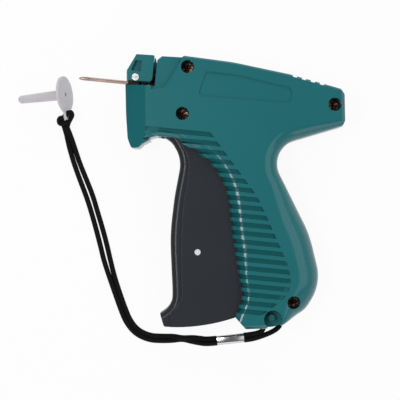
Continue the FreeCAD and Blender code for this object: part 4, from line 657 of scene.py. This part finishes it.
cord_black, cord_tree, cord_shader = new_material("black braided nylon")
cord_lay = add_node(cord_tree, "ShaderNodeUVMap", uv_map="lay")
cord_fibres = add_node(cord_tree, "ShaderNodeTexNoise",
                       [("Vector", cord_lay.outputs["UV"]), ("Scale", 60.0), ("Detail", 3.0)])
cord_tint = blend(cord_tree, cord_fibres.outputs["Fac"], srgb(5, 5, 6), srgb(19, 19, 21))
cord_bump = add_node(cord_tree, "ShaderNodeBump",
                     [("Height", cord_fibres.outputs["Fac"]), ("Strength", 0.5), ("Distance", 0.00005)])
cord_tree.links.new(cord_tint, cord_shader.inputs["Base Color"])
cord_tree.links.new(cord_bump.outputs["Normal"], cord_shader.inputs["Normal"])
cord_shader.inputs["Roughness"].default_value = 0.8
cord_shader.inputs["Specular IOR Level"].default_value = 0.15
SLOTS["cord"] = cord_black


def dress(piece, material):
    """The piece gets one material on all its faces."""
    piece.data.materials.clear()
    piece.data.materials.append(material)


for entry in frame["record"]["subparts"]:
    dress(frame["nodes"][entry["node"]], SLOTS[entry["material_slot"]])
dress(frame["nodes"]["housing_screws"], screw_steel)
for piece in (strand_a, strand_b, gun_loop, hitch):
    dress(piece, SLOTS["cord"])
dress(sleeve, SLOTS["ferrule"])

# %% [markdown]
# The photograph's ground is pure white. The floor here is a pale matt plane that the
# camera sees nearly white, while its own shading still keeps a soft shadow of the gun.

# %% Floor
FLOOR_SIZE = 6.0
FLOOR_WHITE = 0.93
deselect()
bpy.ops.mesh.primitive_plane_add(size=FLOOR_SIZE, location=(0, 0, 0))
floor = bpy.context.active_object
floor.name = "floor"
floor_matt, floor_tree, floor_shader = new_material("pale floor")
floor_shader.inputs["Base Color"].default_value = srgb(236, 236, 236)
floor_shader.inputs["Roughness"].default_value = 0.9
floor_shader.inputs["Specular IOR Level"].default_value = 0.0
floor_ray = add_node(floor_tree, "ShaderNodeLightPath")
floor_seen = add_node(floor_tree, "ShaderNodeMath",
                      [(0, floor_ray.outputs["Is Camera Ray"]), (1, floor_ray.outputs["Is Glossy Ray"])],
                      operation="MAXIMUM")
floor_through = add_node(floor_tree, "ShaderNodeMath",
                         [(0, floor_seen.outputs["Value"]), (1, floor_ray.outputs["Is Transmission Ray"])],
                         operation="MAXIMUM")
floor_share = add_node(floor_tree, "ShaderNodeMath",
                       [(0, floor_through.outputs["Value"]), (1, FLOOR_WHITE)], operation="MULTIPLY")
floor_glow = add_node(floor_tree, "ShaderNodeEmission", [("Color", (1, 1, 1, 1)), ("Strength", 1.0)])
floor_mix = add_node(floor_tree, "ShaderNodeMixShader",
                     [(0, floor_share.outputs["Value"]), (1, floor_shader.outputs["BSDF"]),
                      (2, floor_glow.outputs["Emission"])])
floor_tree.links.new(floor_mix.outputs["Shader"], floor_tree.nodes["Material Output"].inputs["Surface"])
dress(floor, floor_matt)
print("floor", FLOOR_SIZE, "m wide")

# %% [markdown]
# The light is a studio's. Its walls are pale behind the gun and at its sides, dark before
# the needle, and its ceiling is dark, so that bright metal isn't pale all over. The main
# lamp stands high at the front, and each rib of the grip shows it as a glint. Wide lamps
# stand low beside the barrel and the handle, and one behind the handle brightens its
# round back.

# %% Light
WALL_LEVEL = 0.55
FRONT_WALL_SHARE = 0.15
CEILING_LEVEL = 0.15
world = bpy.data.worlds.new("studio")
bpy.context.scene.world = world
world.use_nodes = True
world_tree = world.node_tree
world_back = world_tree.nodes["Background"]
world_back.inputs["Color"].default_value = (1, 1, 1, 1)
world_ray = add_node(world_tree, "ShaderNodeLightPath")
world_way = add_node(world_tree, "ShaderNodeTexCoord")
world_split = add_node(world_tree, "ShaderNodeSeparateXYZ", [("Vector", world_way.outputs["Generated"])])
world_front = add_node(world_tree, "ShaderNodeMapRange",
                       [("Value", world_split.outputs["X"]), ("From Min", -0.7), ("From Max", 0.0),
                        ("To Min", WALL_LEVEL * FRONT_WALL_SHARE), ("To Max", WALL_LEVEL)])
world_height = add_node(world_tree, "ShaderNodeMapRange",
                        [("Value", world_split.outputs["Z"]), ("From Min", 0.30), ("From Max", 0.75),
                         ("To Min", world_front.outputs["Result"]), ("To Max", CEILING_LEVEL)])
world_level = add_node(world_tree, "ShaderNodeMix",
                       [("Factor", world_ray.outputs["Is Camera Ray"]), ("A", world_height.outputs["Result"]),
                        ("B", 1.0)])
world_tree.links.new(world_level.outputs[0], world_back.inputs["Strength"])


def soft_lamp(name, spot, reach, across, power):
    """A lamp that faces the gun, with its size towards and across the line to it."""
    data = bpy.data.lights.new(name, "AREA")
    data.shape = "RECTANGLE"
    data.size = reach
    data.size_y = across
    data.energy = power
    lamp = bpy.data.objects.new(name, data)
    lamp.location = spot
    lamp.rotation_euler = (-Vector(spot)).to_track_quat("-Z", "X").to_euler()
    bpy.context.scene.collection.objects.link(lamp)


soft_lamp("main_lamp", (-0.26, -0.01, 0.66), 0.22, 0.30, 2.2)
soft_lamp("barrel_lamp", (0.05, 0.75, 0.45), 0.55, 0.90, 2.8)
soft_lamp("handle_lamp", (0.05, -0.75, 0.45), 0.55, 0.90, 1.7)
soft_lamp("rear_lamp", (0.66, 0.10, 0.85), 0.80, 0.80, 2.1)
bpy.context.scene.view_settings.view_transform = "Standard"
